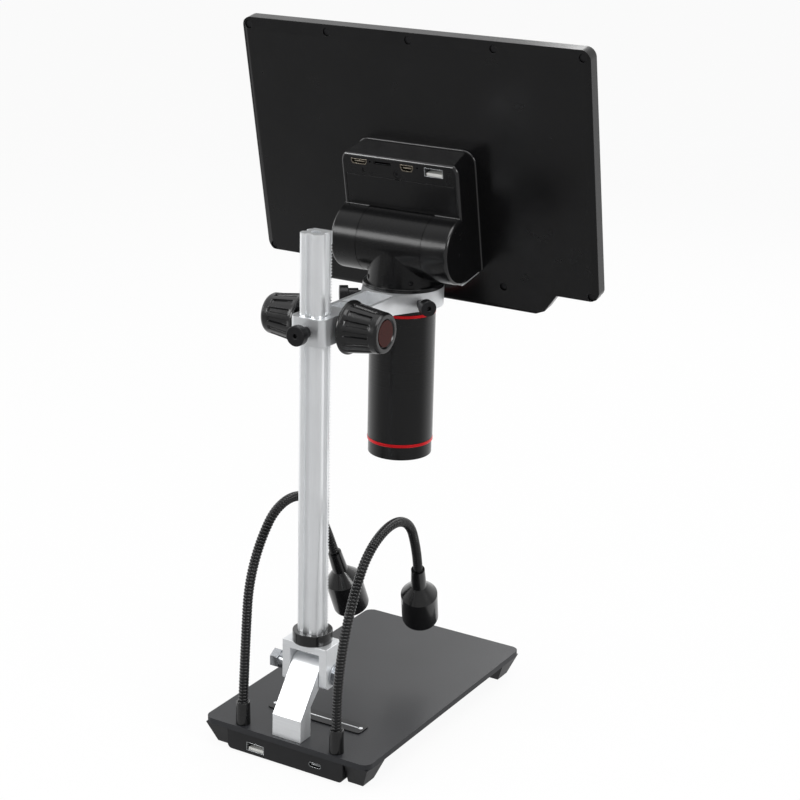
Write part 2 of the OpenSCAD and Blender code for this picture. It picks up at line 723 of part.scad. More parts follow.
module front_bezel() color(black) at_screen() difference() {
    union() {
        difference() {
            along_y(front_w, part_w) screen_2d();
            along_y(lip_w, part_w + 1) {
                translate([0, mid_v]) rrect(screen_w - 3.6, screen_h - 3.6, 4);
                translate([-chin_hw[2], chin_v + 1.8]) square([2*chin_hw[2], 6 + chin_h]);
            }
        }
        cover_places() yrod(3.2, lip_w - eps, part_w - 0.8);
        both_x() box([2*button_pitch + 8, 2*button_pitch + 11], [lip_w - eps, lip_w + 1.8],
                     [button_v - 4.6, button_v + 4.6]);
    }
    translate([0, 0, mid_v]) along_y(front_w - 1, lip_w + 1)
        square([display[0] + 2, display[1] + 2], center = true);
    cover_places() {
        yrod(1, lip_w, part_w);
        yrod(2.5, part_w - 0.8, part_w + 1);
    }
    for (i = [-2:2]) translate([i*button_pitch, 0, button_v]) yrod(button_r + gap, front_w - 1, lip_w + 1);
}

module screen_panel() color([0.05, 0.05, 0.06]) at_screen() translate([0, 0, mid_v])
    along_y(lip_w, lip_w + panel_t) square(panel, center = true);

module screen_glass() color([0.1, 0.12, 0.14, 0.6]) at_screen() translate([0, 0, mid_v])
    along_y(front_w + 0.2, lip_w) square([display[0] + 2 - 2*seam, display[1] + 2 - 2*seam], center = true);

module main_board() color(board_green) at_screen() {
    board_w = lip_w + panel_t;
    box([-main_board_hw, main_board_hw], [board_w, board_w + board_t], main_board_v);
    for (x = chip_x) box([x, x + chip[0]], [board_w + board_t - 0.1, board_w + board_t - 0.1 + chip[1]],
                         [main_board_v[1] - 12 - chip[0], main_board_v[1] - 12]);
}

module button_board() color(board_green) at_screen()
    box([-2*button_pitch - 11, 2*button_pitch + 11], [lip_w + 1.8, lip_w + 2.8], [button_v - 4.6, button_v + 4.6]);

module button(i) color(soft_black) at_screen() translate([(i - 3)*button_pitch, 0, button_v]) {
    yrod(button_r, front_w - 0.8, lip_w + 0.4);
    yrod(button_r + 1, lip_w, lip_w + 0.8);
}
module button_1() button(1);
module button_2() button(2);
module button_3() button(3);
module button_4() button(4);
module button_5() button(5);

module port_block() color(black) at_screen() difference() {
    along_x(-block_hu, block_hu) {
        polygon([[rear_w, block_low], [0, block_low], [0, 0], [face_w, 0], [face_w, face_top],
                 [rear_w, block_top]]);
        circle(barrel_r);
    }
    both_x() along_y(rear_w - 1, face_w + 1) translate([block_hu - block_r, block_top - block_r]) difference() {
        square(block_r + 1);
        circle(block_r);
    }
    // space for the port board, open towards the screen
    along_y(rear_w - 1, face_w - port_wall)
        top_round(block_hu - 2.6, barrel_r + 2.2, block_top - 3.6, 1.5);
    // hollow outer barrel ends, with a lug each for the hinge shaft
    both_x() {
        xrod(barrel_r - 2.8, centre_hw + gap + 3, block_hu - 2.6);
        xrod(hinge_shaft_r + run, centre_hw, centre_hw + 5);
    }
    // the neck turns in the middle
    xrod(barrel_r + gap, -centre_hw - gap, centre_hw + gap);
    box([-centre_hw - gap, centre_hw + gap], [rear_w - 1, barrel_r + 2], [-barrel_r - 2, 0]);
    box([-block_hu + 2.9, block_hu - 2.9], [face_w - hatch_t - 0.1, 0], [hatch_v[0] - seam, hatch_v[1] + seam]);
    translate([hatch_screw[0], 0, hatch_screw[1]]) {
        yrod(2.5, face_w - 1.2, face_w + 1);
        yrod(1.1 + seat, face_w - port_wall - 1, face_w);
    }
    box([13.3, 26.3], [face_w - 0.4, face_w + 1], [42.8, 45.8]);
    for (p = [[20.4, port_v - 1], [-13.2, port_v - 1]]) translate([p[0], 0, p[1]]) yrod(0.6, face_w - 4, face_w + 1);
    translate([usb_u, 0, port_v]) box([-usb_a[0]/2 - seam, usb_a[0]/2 + seam], [face_w - 4, 0], [-usb_a[1] - seam, eps]);
    for (p = [[hdmi_u, hdmi], [mini_u, mini]]) translate([p[0], 0, port_v])
        along_y(face_w - 4, 0) wedge_2d([p[1][0] + 2*seam, p[1][1] + seam], 0);
    translate([card_u, 0, port_v]) box([-card[0]/2 - seam, card[0]/2 + seam], [face_w - 4, 0], [-card[1] - seam, eps]);
}

module hatch() color(black) at_screen() difference() {
    box([3.1 - block_hu, block_hu - 3.1], [face_w - hatch_t, face_w], [hatch_v[0], hatch_v[1]]);
    translate([hatch_screw[0], 0, hatch_screw[1]]) yrod(4, face_w - 3, face_w + 1);
}

module hinge_plates() color(silver) at_screen() both_x()
    box([centre_hw + 1.1, block_hu - 0.5], [rear_w + 3.4, 2], [block_low - 1.1, block_low]);

module port_board() color(board_green) at_screen()
    box([3.6 - block_hu, block_hu - 3.6], [rear_w + 1.9, face_w - port_wall - seam], [port_v, port_v + board_t]);

module port_sockets() color(steel) at_screen() {
    translate([usb_u, face_w, port_v]) usb_a_socket();
    translate([hdmi_u, face_w, port_v]) wedge_socket(hdmi);
    translate([mini_u, face_w, port_v]) wedge_socket(mini);
    translate([card_u, face_w - 0.3, port_v]) difference() {
        box([-card[0]/2, card[0]/2], [-card[2], 0], [-card[1], 0]);
        box([0.4 - card[0]/2, card[0]/2 - 0.4], [1 - card[2], 1], [0.4 - card[1], -0.4]);
    }
}

// ---- lamps ----

// a bead hides each seam of the neck, where one bend ends and the next one starts
bead = 0.1;
module neck_bead() translate([0, 0, -bead/2]) sphere(neck_r + seat);

// draws the neck from the origin up, one bend after another, and then the children at its end
module bend(path, i = 0) {
    if (i < len(path)) rotate([0, 0, path[i][2]]) translate([path[i][0], 0, 0]) {
        rotate([90, 0, 180]) rotate_extrude(angle = path[i][1]) translate([path[i][0], 0]) circle(neck_r);
        rotate([0, path[i][1], 0]) translate([-path[i][0], 0, bead]) {
            neck_bead();
            bend(path, i + 1) children();
        }
    } else children();
}
// the same way without drawing
module follow(path, i = 0) {
    if (i < len(path)) rotate([0, 0, path[i][2]]) translate([path[i][0], 0, 0]) rotate([0, path[i][1], 0])
        translate([-path[i][0], 0, bead]) follow(path, i + 1) children();
    else children();
}

module from_sleeve(side, lean, turn) translate([side*lamp_x, lamp_y, plate_z + sleeve_h])
    rotate([0, 0, -90 - turn]) rotate([0, lean, 0]) children();

module gooseneck(side, lean, turn, path) color(soft_black) {
    translate([side*lamp_x, lamp_y, plate_z]) zrod(neck_r, 3, sleeve_h - bead);
    from_sleeve(side, lean, turn) {
        neck_bead();
        bend(path) zrod(neck_r, 0, 6);
    }
}

module lamp_head() difference() {
    union() {
        cylinder(r1 = neck_r + 1.3, r2 = neck_r + 2, h = lamp_steps[0] + eps);
        translate([0, 0, lamp_steps[0]])
            cylinder(r1 = neck_r + 2, r2 = lamp_r, h = lamp_steps[1] - lamp_steps[0]);
        zrod(lamp_r, lamp_steps[1] - eps, lamp_len - 1.4);
        zrod(lamp_r - 0.5, lamp_len - 1.5, lamp_len);
    }
    zrod(neck_r + seat, -1, 6);
    zrod(lamp_r - 2.4, lamp_steps[2], lamp_len - 2.9);
    zrod(lamp_r - 1.6, lamp_len - 3, lamp_len + 1);
}
module lamp_glass() {
    zrod(lamp_r - 1.65, lamp_len - 3, lamp_len - 1.6);
    zrod(lamp_r - 2.45, lamp_steps[2], lamp_steps[2] + 2);
}

module gooseneck_left() gooseneck(-1, left_lean, left_turn, left_path);
module gooseneck_right() gooseneck(1, right_lean, right_turn, right_path);
module left_end() from_sleeve(-1, left_lean, left_turn) follow(left_path) children();
module right_end() from_sleeve(1, right_lean, right_turn) follow(right_path) children();
module lamp_left() color(black) left_end() lamp_head();
module lamp_right() color(black) right_end() lamp_head();
module lamp_lens_left() color([0.9, 0.9, 0.8, 0.6]) left_end() lamp_glass();
module lamp_lens_right() color([0.9, 0.9, 0.8, 0.6]) right_end() lamp_glass();

base_plate();
base_feet();
foot_pads();
base_screws();
port_box();
base_board();
base_sockets();
cover_strip();
strip_rail();
column_bracket();
lamp_sleeves();
pivot_bolt();
pivot_nut_set();
clevis();
column_screw();
collar();
column();
carriage();
pinion_bushes();
pinion_shaft();
focus_knobs();
knob_discs();
lock_screw();
clamp_screw_left();
clamp_screw_right();
seat_ring();
neck();
neck_screws();
red_rings();
tube();
end_cap();
window();
led_board();
lens_barrel();
lenses();
sensor_board();
hinge_shaft();
port_block();
hatch();
hinge_plates();
port_board();
port_sockets();
rear_cover();
cover_screws();
front_bezel();
screen_panel();
screen_glass();
main_board();
button_board();
button_1();
button_2();
button_3();
button_4();
button_5();
gooseneck_left();
lamp_left();
lamp_lens_left();
gooseneck_right();
lamp_right();
lamp_lens_right();
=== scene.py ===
"""LCD digital microscope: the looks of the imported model.

Metres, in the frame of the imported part: origin on the bench under the base plate, +Z up, the user on the -Y
side. Left and right are the user's.
"""

import logging
import math
from collections.abc import Callable, Sequence
from dataclasses import dataclass, field
from enum import Enum

import bmesh
import bpy
from mathutils import Matrix, Vector


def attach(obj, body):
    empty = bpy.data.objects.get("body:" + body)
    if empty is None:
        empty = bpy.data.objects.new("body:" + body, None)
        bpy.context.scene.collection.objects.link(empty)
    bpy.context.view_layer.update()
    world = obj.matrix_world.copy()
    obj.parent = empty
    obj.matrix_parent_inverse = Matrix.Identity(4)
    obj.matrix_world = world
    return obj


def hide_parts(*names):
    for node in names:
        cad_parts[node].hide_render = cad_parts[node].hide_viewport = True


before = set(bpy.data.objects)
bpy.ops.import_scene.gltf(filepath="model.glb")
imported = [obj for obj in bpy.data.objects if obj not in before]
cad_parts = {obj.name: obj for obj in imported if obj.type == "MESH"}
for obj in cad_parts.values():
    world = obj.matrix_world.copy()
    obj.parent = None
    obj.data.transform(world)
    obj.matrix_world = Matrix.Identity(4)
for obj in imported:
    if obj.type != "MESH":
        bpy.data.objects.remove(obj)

log = logging.getLogger("microscope")

MM = 0.001
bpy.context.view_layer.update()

# depth of the tube's and the screen hinge's axis, in millimetres
HEAD_Y_MM = -33.1

# a USB socket's tongue: half its width, and how far below the board it starts and ends
TONGUE_HALF_MM = 5.51
TONGUE_BELOW_MM = (3.45, 5.29)

# nearly all values of a noise pattern lie in the first span; a ramp over the second shows both end colours
NOISE_SPAN = (0.25, 0.75)
RAMP_SPAN = (0.3, 0.7)


# ---- small tools ----


def linear(hex_colour: str) -> tuple[float, float, float, float]:
    """Turns an sRGB hex colour into linear RGBA.

    Args:
        hex_colour: Six hex digits, with or without a leading #.

    Returns:
        Linear red, green, blue and an alpha of 1.
    """
    digits = hex_colour.lstrip("#")
    parts = [int(digits[i : i + 2], 16) / 255 for i in (0, 2, 4)]
    rgb = [c / 12.92 if c <= 0.04045 else ((c + 0.055) / 1.055) ** 2.4 for c in parts]
    return rgb[0], rgb[1], rgb[2], 1.0


def add(
    tree: bpy.types.NodeTree,
    kind: str,
    settings: dict[str, object] | None = None,
    **inputs: object,
) -> bpy.types.Node:
    """Adds one node with its settings, values and links.

    Args:
        tree: The node tree.
        kind: The node's type name.
        settings: Attributes of the node itself.
        **inputs: Input values or output sockets to link, by input name with _ for a space, or by "i" and
            the input's index.

    Returns:
        The new node.
    """
    node = tree.nodes.new(kind)
    for name, value in (settings or {}).items():
        setattr(node, name, value)
    for name, value in inputs.items():
        key = int(name[1:]) if name[0] == "i" and name[1:].isdigit() else name.replace("_", " ")
        socket = node.inputs[key]
        if isinstance(value, bpy.types.NodeSocket):
            tree.links.new(value, socket)
        else:
            socket.default_value = value
    return node


def shaded(colour: Sequence[float], factor: float) -> tuple[float, float, float, float]:
    """Darkens or lightens a linear colour by a factor."""
    red, green, blue = (min(1.0, c * factor) for c in colour[:3])
    return red, green, blue, 1.0


def on_tongue(off_mm: float, below_mm: float) -> bool:
    """Tells whether a point this far from the middle and below the board lies on a USB socket's tongue."""
    return abs(off_mm) < TONGUE_HALF_MM and TONGUE_BELOW_MM[0] < below_mm < TONGUE_BELOW_MM[1]


def per_mm(size_mm: float) -> float:
    """Gives the noise scale whose pattern is about size_mm wide, for coordinates in metres."""
    return 1.0 / (size_mm * MM)


def mesh_object(name: str, body: str) -> tuple[bpy.types.Object, bmesh.types.BMesh]:
    """Makes an empty mesh object and a bmesh to fill it.

    Args:
        name: Name of the piece.
        body: Body that it rides on.

    Returns:
        The linked object and a new bmesh.
    """
    obj = bpy.data.objects.new(name, bpy.data.meshes.new(name))
    bpy.context.scene.collection.objects.link(obj)
    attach(obj, body)
    return obj, bmesh.new()


def seal(obj: bpy.types.Object, bm: bmesh.types.BMesh, smooth_deg: float = 35.0) -> None:
    """Writes the bmesh to its object and shades it smooth below an angle.

    Args:
        obj: Object that takes the mesh.
        bm: The finished bmesh, freed here.
        smooth_deg: Largest angle between faces that are shaded as one surface.
    """
    bmesh.ops.recalc_face_normals(bm, faces=bm.faces)
    bm.to_mesh(obj.data)
    bm.free()
    obj.data.shade_smooth()
    obj.data.set_sharp_from_angle(angle=math.radians(smooth_deg))


def lathe(
    bm: bmesh.types.BMesh,
    place: Matrix,
    profile: Sequence[tuple[float, float]],
    steps: int,
    shape: Callable[[float, float, float], float] | None = None,
) -> None:
    """Turns a profile round the local Z axis.

    Args:
        bm: Mesh that gets the faces.
        place: From the local frame to the row frame.
        profile: (radius, height) pairs in millimetres, from end to end; a radius of 0 closes the end.
        steps: Number of steps round the axis.
        shape: Optional function of radius, height and angle that gives the final radius in millimetres.
    """
    rings: list[list[bmesh.types.BMVert]] = []
    for r, z in profile:
        if r <= 1e-9:
            rings.append([bm.verts.new(place @ Vector((0, 0, z * MM)))])
            continue
        ring = []
        for k in range(steps):
            a = 2 * math.pi * k / steps
            rr = shape(r, z, a) if shape else r
            ring.append(bm.verts.new(place @ Vector((rr * math.cos(a) * MM, rr * math.sin(a) * MM, z * MM))))
        rings.append(ring)
    for low, high in zip(rings, rings[1:]):
        for k in range(steps):
            n = (k + 1) % steps
            if len(low) == 1 and len(high) == 1:
                break
            if len(low) == 1:
                bm.faces.new((low[0], high[k], high[n]))
            elif len(high) == 1:
                bm.faces.new((low[k], low[n], high[0]))
            else:
                bm.faces.new((low[k], low[n], high[n], high[k]))


def close_rod(bm: bmesh.types.BMesh, rings: Sequence[Sequence[bmesh.types.BMVert]]) -> None:
    """Joins rings of equal count into a rod and closes both ends.

    Args:
        bm: Mesh that gets the faces.
        rings: Vertices of each ring, from one end to the other.
    """
    sides = len(rings[0])
    for low, high in zip(rings, rings[1:]):
        for k in range(sides):
            n = (k + 1) % sides
            bm.faces.new((low[k], low[n], high[n], high[k]))
    bm.faces.new(rings[0][::-1])
    bm.faces.new(rings[-1])


def rounded(points: Sequence[tuple[float, float, float]], steps: int = 4) -> list[tuple[float, float]]:
    """Rounds the corners of a profile.

    Args:
        points: (radius, height, corner radius) triples in millimetres.
        steps: Segments in each rounded corner.

    Returns:
        (radius, height) pairs with arcs in place of the corners that have a radius.
    """
    out: list[tuple[float, float]] = []
    for i, (x, y, r) in enumerate(points):
        if r <= 0 or i in (0, len(points) - 1):
            out.append((x, y))
            continue
        here = Vector((x, y))
        back = Vector(points[i - 1][:2]) - here
        on = Vector(points[i + 1][:2]) - here
        half = back.angle(on) / 2
        cut = min(r / math.tan(half), 0.49 * back.length, 0.49 * on.length)
        start, end = here + back.normalized() * cut, here + on.normalized() * cut
        for k in range(steps + 1):
            t = k / steps
            p = (1 - t) ** 2 * start + 2 * t * (1 - t) * here + t**2 * end
            out.append((p.x, p.y))
    return out


# ---- finishes ----


class Grain(Enum):
    """How a metal surface was worked."""

    DRAWN = "drawn"
    TURNED = "turned"
    BLASTED = "blasted"


@dataclass(frozen=True)
class Finish:
    """A surface finish that turns into one material.

    Attributes:
        name: Name of the material.
        colour: sRGB hex colour.
        roughness: Mean roughness.
    """

    name: str
    colour: str
    roughness: float

    def material(self) -> bpy.types.Material:
        """Builds this finish's material once.

        Returns:
            The material.
        """
        found = bpy.data.materials.get(self.name)
        if found:
            return found
        made = bpy.data.materials.new(self.name)
        made.use_nodes = True
        tree = made.node_tree
        tree.nodes.clear()
        shader = add(tree, "ShaderNodeBsdfPrincipled")
        out = add(tree, "ShaderNodeOutputMaterial", Surface=shader.outputs[0])
        out.location, shader.location = (600, 0), (300, 0)
        self.paint(tree, shader)
        made.diffuse_color = linear(self.colour)
        return made

    def paint(self, tree: bpy.types.NodeTree, shader: bpy.types.Node) -> None:
        """Adds this finish's nodes.

        Args:
            tree: The material's tree.
            shader: Its Principled shader.
        """
        raise NotImplementedError

    def place(self, tree: bpy.types.NodeTree) -> bpy.types.NodeSocket:
        """Gives the coordinates in metres that every pattern uses."""
        return add(tree, "ShaderNodeTexCoord").outputs["Object"]

    def tone(
        self,
        tree: bpy.types.NodeTree,
        shader: bpy.types.Node,
        where: bpy.types.NodeSocket,
        size_mm: float,
        darker: float,
        lighter: float,
    ) -> None:
        """Varies the colour slowly over the surface.

        Args:
            tree: The material's tree.
            shader: Its Principled shader.
            where: Coordinates.
            size_mm: Size of the patches.
            darker: Factor of the darkest patches.
            lighter: Factor of the lightest patches.
        """
        base = linear(self.colour)
        scale = per_mm(size_mm)
        cloud = add(tree, "ShaderNodeTexNoise", Vector=where, Scale=scale, Detail=3.0, Roughness=0.55)
        ramp = add(tree, "ShaderNodeValToRGB", Fac=cloud.outputs["Fac"])
        for stop, at, factor in zip(ramp.color_ramp.elements, RAMP_SPAN, (darker, lighter)):
            stop.position, stop.color = at, shaded(base, factor)
        tree.links.new(ramp.outputs["Color"], shader.inputs["Base Color"])

    def gloss(
        self,
        tree: bpy.types.NodeTree,
        shader: bpy.types.Node,
        pattern: bpy.types.NodeSocket,
        spread: float,
    ) -> None:
        """Lets a pattern vary the roughness round its mean.

        Args:
            tree: The material's tree.
            shader: Its Principled shader.
            pattern: A value from 0 to 1.
            spread: Half the range of the roughness.
        """
        low, high = max(0.02, self.roughness - spread), min(1.0, self.roughness + spread)
        span = add(
            tree, "ShaderNodeMapRange", Value=pattern, i1=NOISE_SPAN[0], i2=NOISE_SPAN[1], i3=low, i4=high
        )
        tree.links.new(span.outputs[0], shader.inputs["Roughness"])

    def relief(
        self,
        tree: bpy.types.NodeTree,
        shader: bpy.types.Node,
        height: bpy.types.NodeSocket,
        depth_mm: float,
    ) -> None:
        """Turns a height pattern into a bump.

        Args:
            tree: The material's tree.
            shader: Its Principled shader.
            height: A value from 0 to 1.
            depth_mm: Height of the relief.
        """
        bump = add(tree, "ShaderNodeBump", Height=height, Strength=1.0, Distance=depth_mm * MM)
        tree.links.new(bump.outputs["Normal"], shader.inputs["Normal"])


@dataclass(frozen=True)
class MouldedPlastic(Finish):
    """Moulded ABS from an eroded tool: a fine even grain that breaks up the highlight, and handling marks.

    Attributes:
        grain_mm: Width of the grain; real grain is near 0.3 mm and is drawn coarser so that it shows.
        grain_depth_mm: Depth of the grain.
        spread: Half the range of the roughness.
        sheen: Specular level; the grain's pits swallow some of the 0.5 of smooth plastic.
    """

    grain_mm: float = 0.55
    grain_depth_mm: float = 0.012
    spread: float = 0.05
    sheen: float = 0.36

    def paint(self, tree: bpy.types.NodeTree, shader: bpy.types.Node) -> None:
        """Adds grain, tone and handling marks.

        Args:
            tree: The material's tree.
            shader: Its Principled shader.
        """
        shader.inputs["IOR"].default_value = 1.52
        shader.inputs["Specular IOR Level"].default_value = self.sheen
        where = self.place(tree)
        self.tone(tree, shader, where, size_mm=38.0, darker=0.88, lighter=1.16)
        marks = add(tree, "ShaderNodeTexNoise", Vector=where, Scale=per_mm(16.0), Detail=4.0, Roughness=0.65)
        self.gloss(tree, shader, marks.outputs["Fac"], self.spread)
        scale = per_mm(self.grain_mm)
        grain = add(tree, "ShaderNodeTexVoronoi", {"feature": "SMOOTH_F1"}, Vector=where, Scale=scale)
        self.relief(tree, shader, grain.outputs["Distance"], self.grain_depth_mm)


@dataclass(frozen=True)
class PowderCoat(Finish):
    """Baked powder coat on steel: a soft orange-peel skin with a satin shine and fine flecks.

    Attributes:
        peel_mm: Width of the orange peel.
        peel_depth_mm: Depth of the orange peel.
        sheen: Specular level; the matting powder swallows some of the 0.5 of smooth paint.
    """

    peel_mm: float = 1.3
    peel_depth_mm: float = 0.05
    sheen: float = 0.36

    def paint(self, tree: bpy.types.NodeTree, shader: bpy.types.Node) -> None:
        """Adds orange peel, flecks and a slow tone.

        Args:
            tree: The material's tree.
            shader: Its Principled shader.
        """
        shader.inputs["IOR"].default_value = 1.5
        shader.inputs["Specular IOR Level"].default_value = self.sheen
        where = self.place(tree)
        self.tone(tree, shader, where, size_mm=45.0, darker=0.93, lighter=1.08)
        peel = add(tree, "ShaderNodeTexNoise", Vector=where, Scale=per_mm(self.peel_mm), Detail=2.0)
        fleck = add(tree, "ShaderNodeTexNoise", Vector=where, Scale=per_mm(0.35), Detail=1.0)
        self.gloss(tree, shader, fleck.outputs["Fac"], spread=0.06)
        self.relief(tree, shader, peel.outputs["Fac"], self.peel_depth_mm)


@dataclass(frozen=True)
class WorkedMetal(Finish):
    """Bare, plated or anodised metal with the fine lines of how it was worked.

    Attributes:
        grain: How the lines run.
        line_mm: Spacing of the lines; real lines are near 0.05 mm and are drawn coarser so that they show.
        line_depth_mm: Depth of the lines.
        metallic: 1 for bare metal, less under a milky or dyed oxide layer.
        contrast: How far the lines darken and lighten the colour.
        spread: Half the range of the roughness.
        about: Axis of the turning lines or direction of the drawn ones, in the row frame.
        centre: A point on that axis, in millimetres.
        cloud_mm: Size of the faint clouds that handling leaves.
        clouded: Factor of the darkest clouds.
        stretch: How much longer than wide the drawn lines are.
    """

    grain: Grain = Grain.BLASTED
    line_mm: float = 0.5
    line_depth_mm: float = 0.004
    metallic: float = 1.0
    contrast: float = 0.08
    spread: float = 0.05
    about: tuple[float, float, float] = (0.0, 0.0, 1.0)
    centre: tuple[float, float, float] = (0.0, 0.0, 0.0)
    cloud_mm: float = 22.0
    clouded: float = 0.95
    stretch: float = 40.0

    def lines(self, tree: bpy.types.NodeTree) -> bpy.types.NodeSocket:
        """Builds the pattern of the worked lines.

        Args:
            tree: The material's tree.

        Returns:
            A value from 0 to 1.
        """
        where, scale = self.place(tree), per_mm(self.line_mm)
        if self.grain is Grain.BLASTED:
            return add(tree, "ShaderNodeTexNoise", Vector=where, Scale=scale, Detail=2.0).outputs["Fac"]
        turn = Vector(self.about).rotation_difference(Vector((0, 0, 1))).to_euler()
        centre = tuple(c * MM for c in self.centre)
        moved = add(tree, "ShaderNodeVectorMath", {"operation": "SUBTRACT"}, i0=where, i1=centre)
        local = add(tree, "ShaderNodeVectorRotate", {"rotation_type": "EULER_XYZ"}, Vector=moved.outputs[0])
        local.inputs["Rotation"].default_value = turn
        if self.grain is Grain.DRAWN:
            # lines run along the axis, so the pattern is stretched that way
            squeeze = (1.0, 1.0, 1.0 / self.stretch)
            times = {"operation": "MULTIPLY"}
            drawn = add(tree, "ShaderNodeVectorMath", times, i0=local.outputs[0], i1=squeeze)
            noise = add(tree, "ShaderNodeTexNoise", Vector=drawn.outputs[0], Scale=scale, Detail=3.0)
            return noise.outputs["Fac"]
        # turned: the pattern depends on the height along the axis and the distance from it
        apart = add(tree, "ShaderNodeSeparateXYZ", Vector=local.outputs[0])
        flat = add(tree, "ShaderNodeCombineXYZ", X=apart.outputs[0], Y=apart.outputs[1])
        radius = add(tree, "ShaderNodeVectorMath", {"operation": "LENGTH"}, i0=flat.outputs[0])
        joined = add(tree, "ShaderNodeCombineXYZ", X=radius.outputs["Value"], Y=apart.outputs[2])
        noise = add(tree, "ShaderNodeTexNoise", Vector=joined.outputs[0], Scale=scale, Detail=2.0)
        return noise.outputs["Fac"]

    def paint(self, tree: bpy.types.NodeTree, shader: bpy.types.Node) -> None:
        """Adds the lines to colour, roughness and bump.

        Args:
            tree: The material's tree.
            shader: Its Principled shader.
        """
        shader.inputs["Metallic"].default_value = self.metallic
        lines = self.lines(tree)
        base = linear(self.colour)
        ramp = add(tree, "ShaderNodeValToRGB", Fac=lines)
        for stop, at, factor in zip(
            ramp.color_ramp.elements, RAMP_SPAN, (1 - self.contrast, 1 + self.contrast)
        ):
            stop.position, stop.color = at, shaded(base, factor)
        where = self.place(tree)
        cloud = add(tree, "ShaderNodeTexNoise", Vector=where, Scale=per_mm(self.cloud_mm), Detail=3.0)
        shade = add(tree, "ShaderNodeMapRange", Value=cloud.outputs["Fac"], i3=self.clouded, i4=1.0)
        shade.inputs[1].default_value, shade.inputs[2].default_value = NOISE_SPAN
        mixed = add(
            tree,
            "ShaderNodeMix",
            {"data_type": "RGBA", "blend_type": "MULTIPLY"},
            Factor=1.0,
            i6=ramp.outputs["Color"],
            i7=shade.outputs[0],
        )
        tree.links.new(mixed.outputs[2], shader.inputs["Base Color"])
        self.gloss(tree, shader, lines, self.spread)
        self.relief(tree, shader, lines, self.line_depth_mm)


@dataclass(frozen=True)
class GlossLacquer(Finish):
    """Polished black ABS under a clear coat: sharp reflections, broken only by hairlines and dust."""

    def paint(self, tree: bpy.types.NodeTree, shader: bpy.types.Node) -> None:
        """Adds the coat, hairlines and a slow tone.

        Args:
            tree: The material's tree.
            shader: Its Principled shader.
        """
        shader.inputs["IOR"].default_value = 1.49
        shader.inputs["Coat Weight"].default_value = 0.35
        shader.inputs["Coat Roughness"].default_value = 0.06
        where = self.place(tree)
        self.tone(tree, shader, where, size_mm=20.0, darker=0.9, lighter=1.12)
        hair = add(tree, "ShaderNodeTexNoise", Vector=where, Scale=per_mm(3.0), Detail=6.0, Roughness=0.8)
        self.gloss(tree, shader, hair.outputs["Fac"], spread=0.06)
        self.relief(tree, shader, hair.outputs["Fac"], depth_mm=0.006)


@dataclass(frozen=True)
class SoftRubber(Finish):
    """Moulded rubber: dull, with a fine pebbled skin that greys a little."""

    def paint(self, tree: bpy.types.NodeTree, shader: bpy.types.Node) -> None:
        """Adds pebbling and a dusty tone.

        Args:
            tree: The material's tree.
            shader: Its Principled shader.
        """
        shader.inputs["IOR"].default_value = 1.5
        where = self.place(tree)
        self.tone(tree, shader, where, size_mm=6.0, darker=0.85, lighter=1.3)
        shader.inputs["Roughness"].default_value = self.roughness
        pebble = add(tree, "ShaderNodeTexVoronoi", {"feature": "F1"}, Vector=where, Scale=per_mm(0.6))
        self.relief(tree, shader, pebble.outputs["Distance"], depth_mm=0.03)


@dataclass(frozen=True)
class SolderMask(Finish):
    """Circuit board under solder mask: glossy, with the faint raised net of its tracks.

    Attributes:
        track: Colour of the tracks.
        mesh_mm: Size of the meshes of their net.
        edges: Distances from a mesh's edge where the track ends and the mask begins, as shares of its size.
    """

    track: str = "#1d6b48"
    mesh_mm: float = 3.2
    edges: tuple[float, float] = (0.04, 0.07)

    def paint(self, tree: bpy.types.NodeTree, shader: bpy.types.Node) -> None:
        """Adds tracks to colour and bump.

        Args:
            tree: The material's tree.
            shader: Its Principled shader.
        """
        shader.inputs["IOR"].default_value = 1.5
        shader.inputs["Roughness"].default_value = self.roughness
        where = self.place(tree)
        scale = per_mm(self.mesh_mm)
        net = add(
            tree, "ShaderNodeTexVoronoi", {"feature": "DISTANCE_TO_EDGE"}, Vector=where, Scale=scale
        )
        ramp = add(tree, "ShaderNodeValToRGB", Fac=net.outputs["Distance"])
        for stop, at, colour in zip(ramp.color_ramp.elements, self.edges, (self.track, self.colour)):
            stop.position, stop.color = at, linear(colour)
        tree.links.new(ramp.outputs["Color"], shader.inputs["Base Color"])
        self.relief(tree, shader, ramp.outputs["Color"], depth_mm=0.03)


@dataclass(frozen=True)
class ClearGlass(Finish):
    """Coated or frosted glass.

    Attributes:
        frosting: Roughness pattern's depth; 0 for polished glass.
    """

    frosting: float = 0.0

    def paint(self, tree: bpy.types.NodeTree, shader: bpy.types.Node) -> None:
        """Adds transmission, and fine dust that shows in the gloss.

        Args:
            tree: The material's tree.
            shader: Its Principled shader.
        """
        shader.inputs["IOR"].default_value = 1.52
        shader.inputs["Transmission Weight"].default_value = 1.0
        shader.inputs["Base Color"].default_value = linear(self.colour)
        where = self.place(tree)
        dust = add(tree, "ShaderNodeTexNoise", Vector=where, Scale=per_mm(1.2), Detail=5.0)
        self.gloss(tree, shader, dust.outputs["Fac"], spread=0.02 + self.frosting)
        self.relief(tree, shader, dust.outputs["Fac"], depth_mm=0.002 + 0.05 * self.frosting)


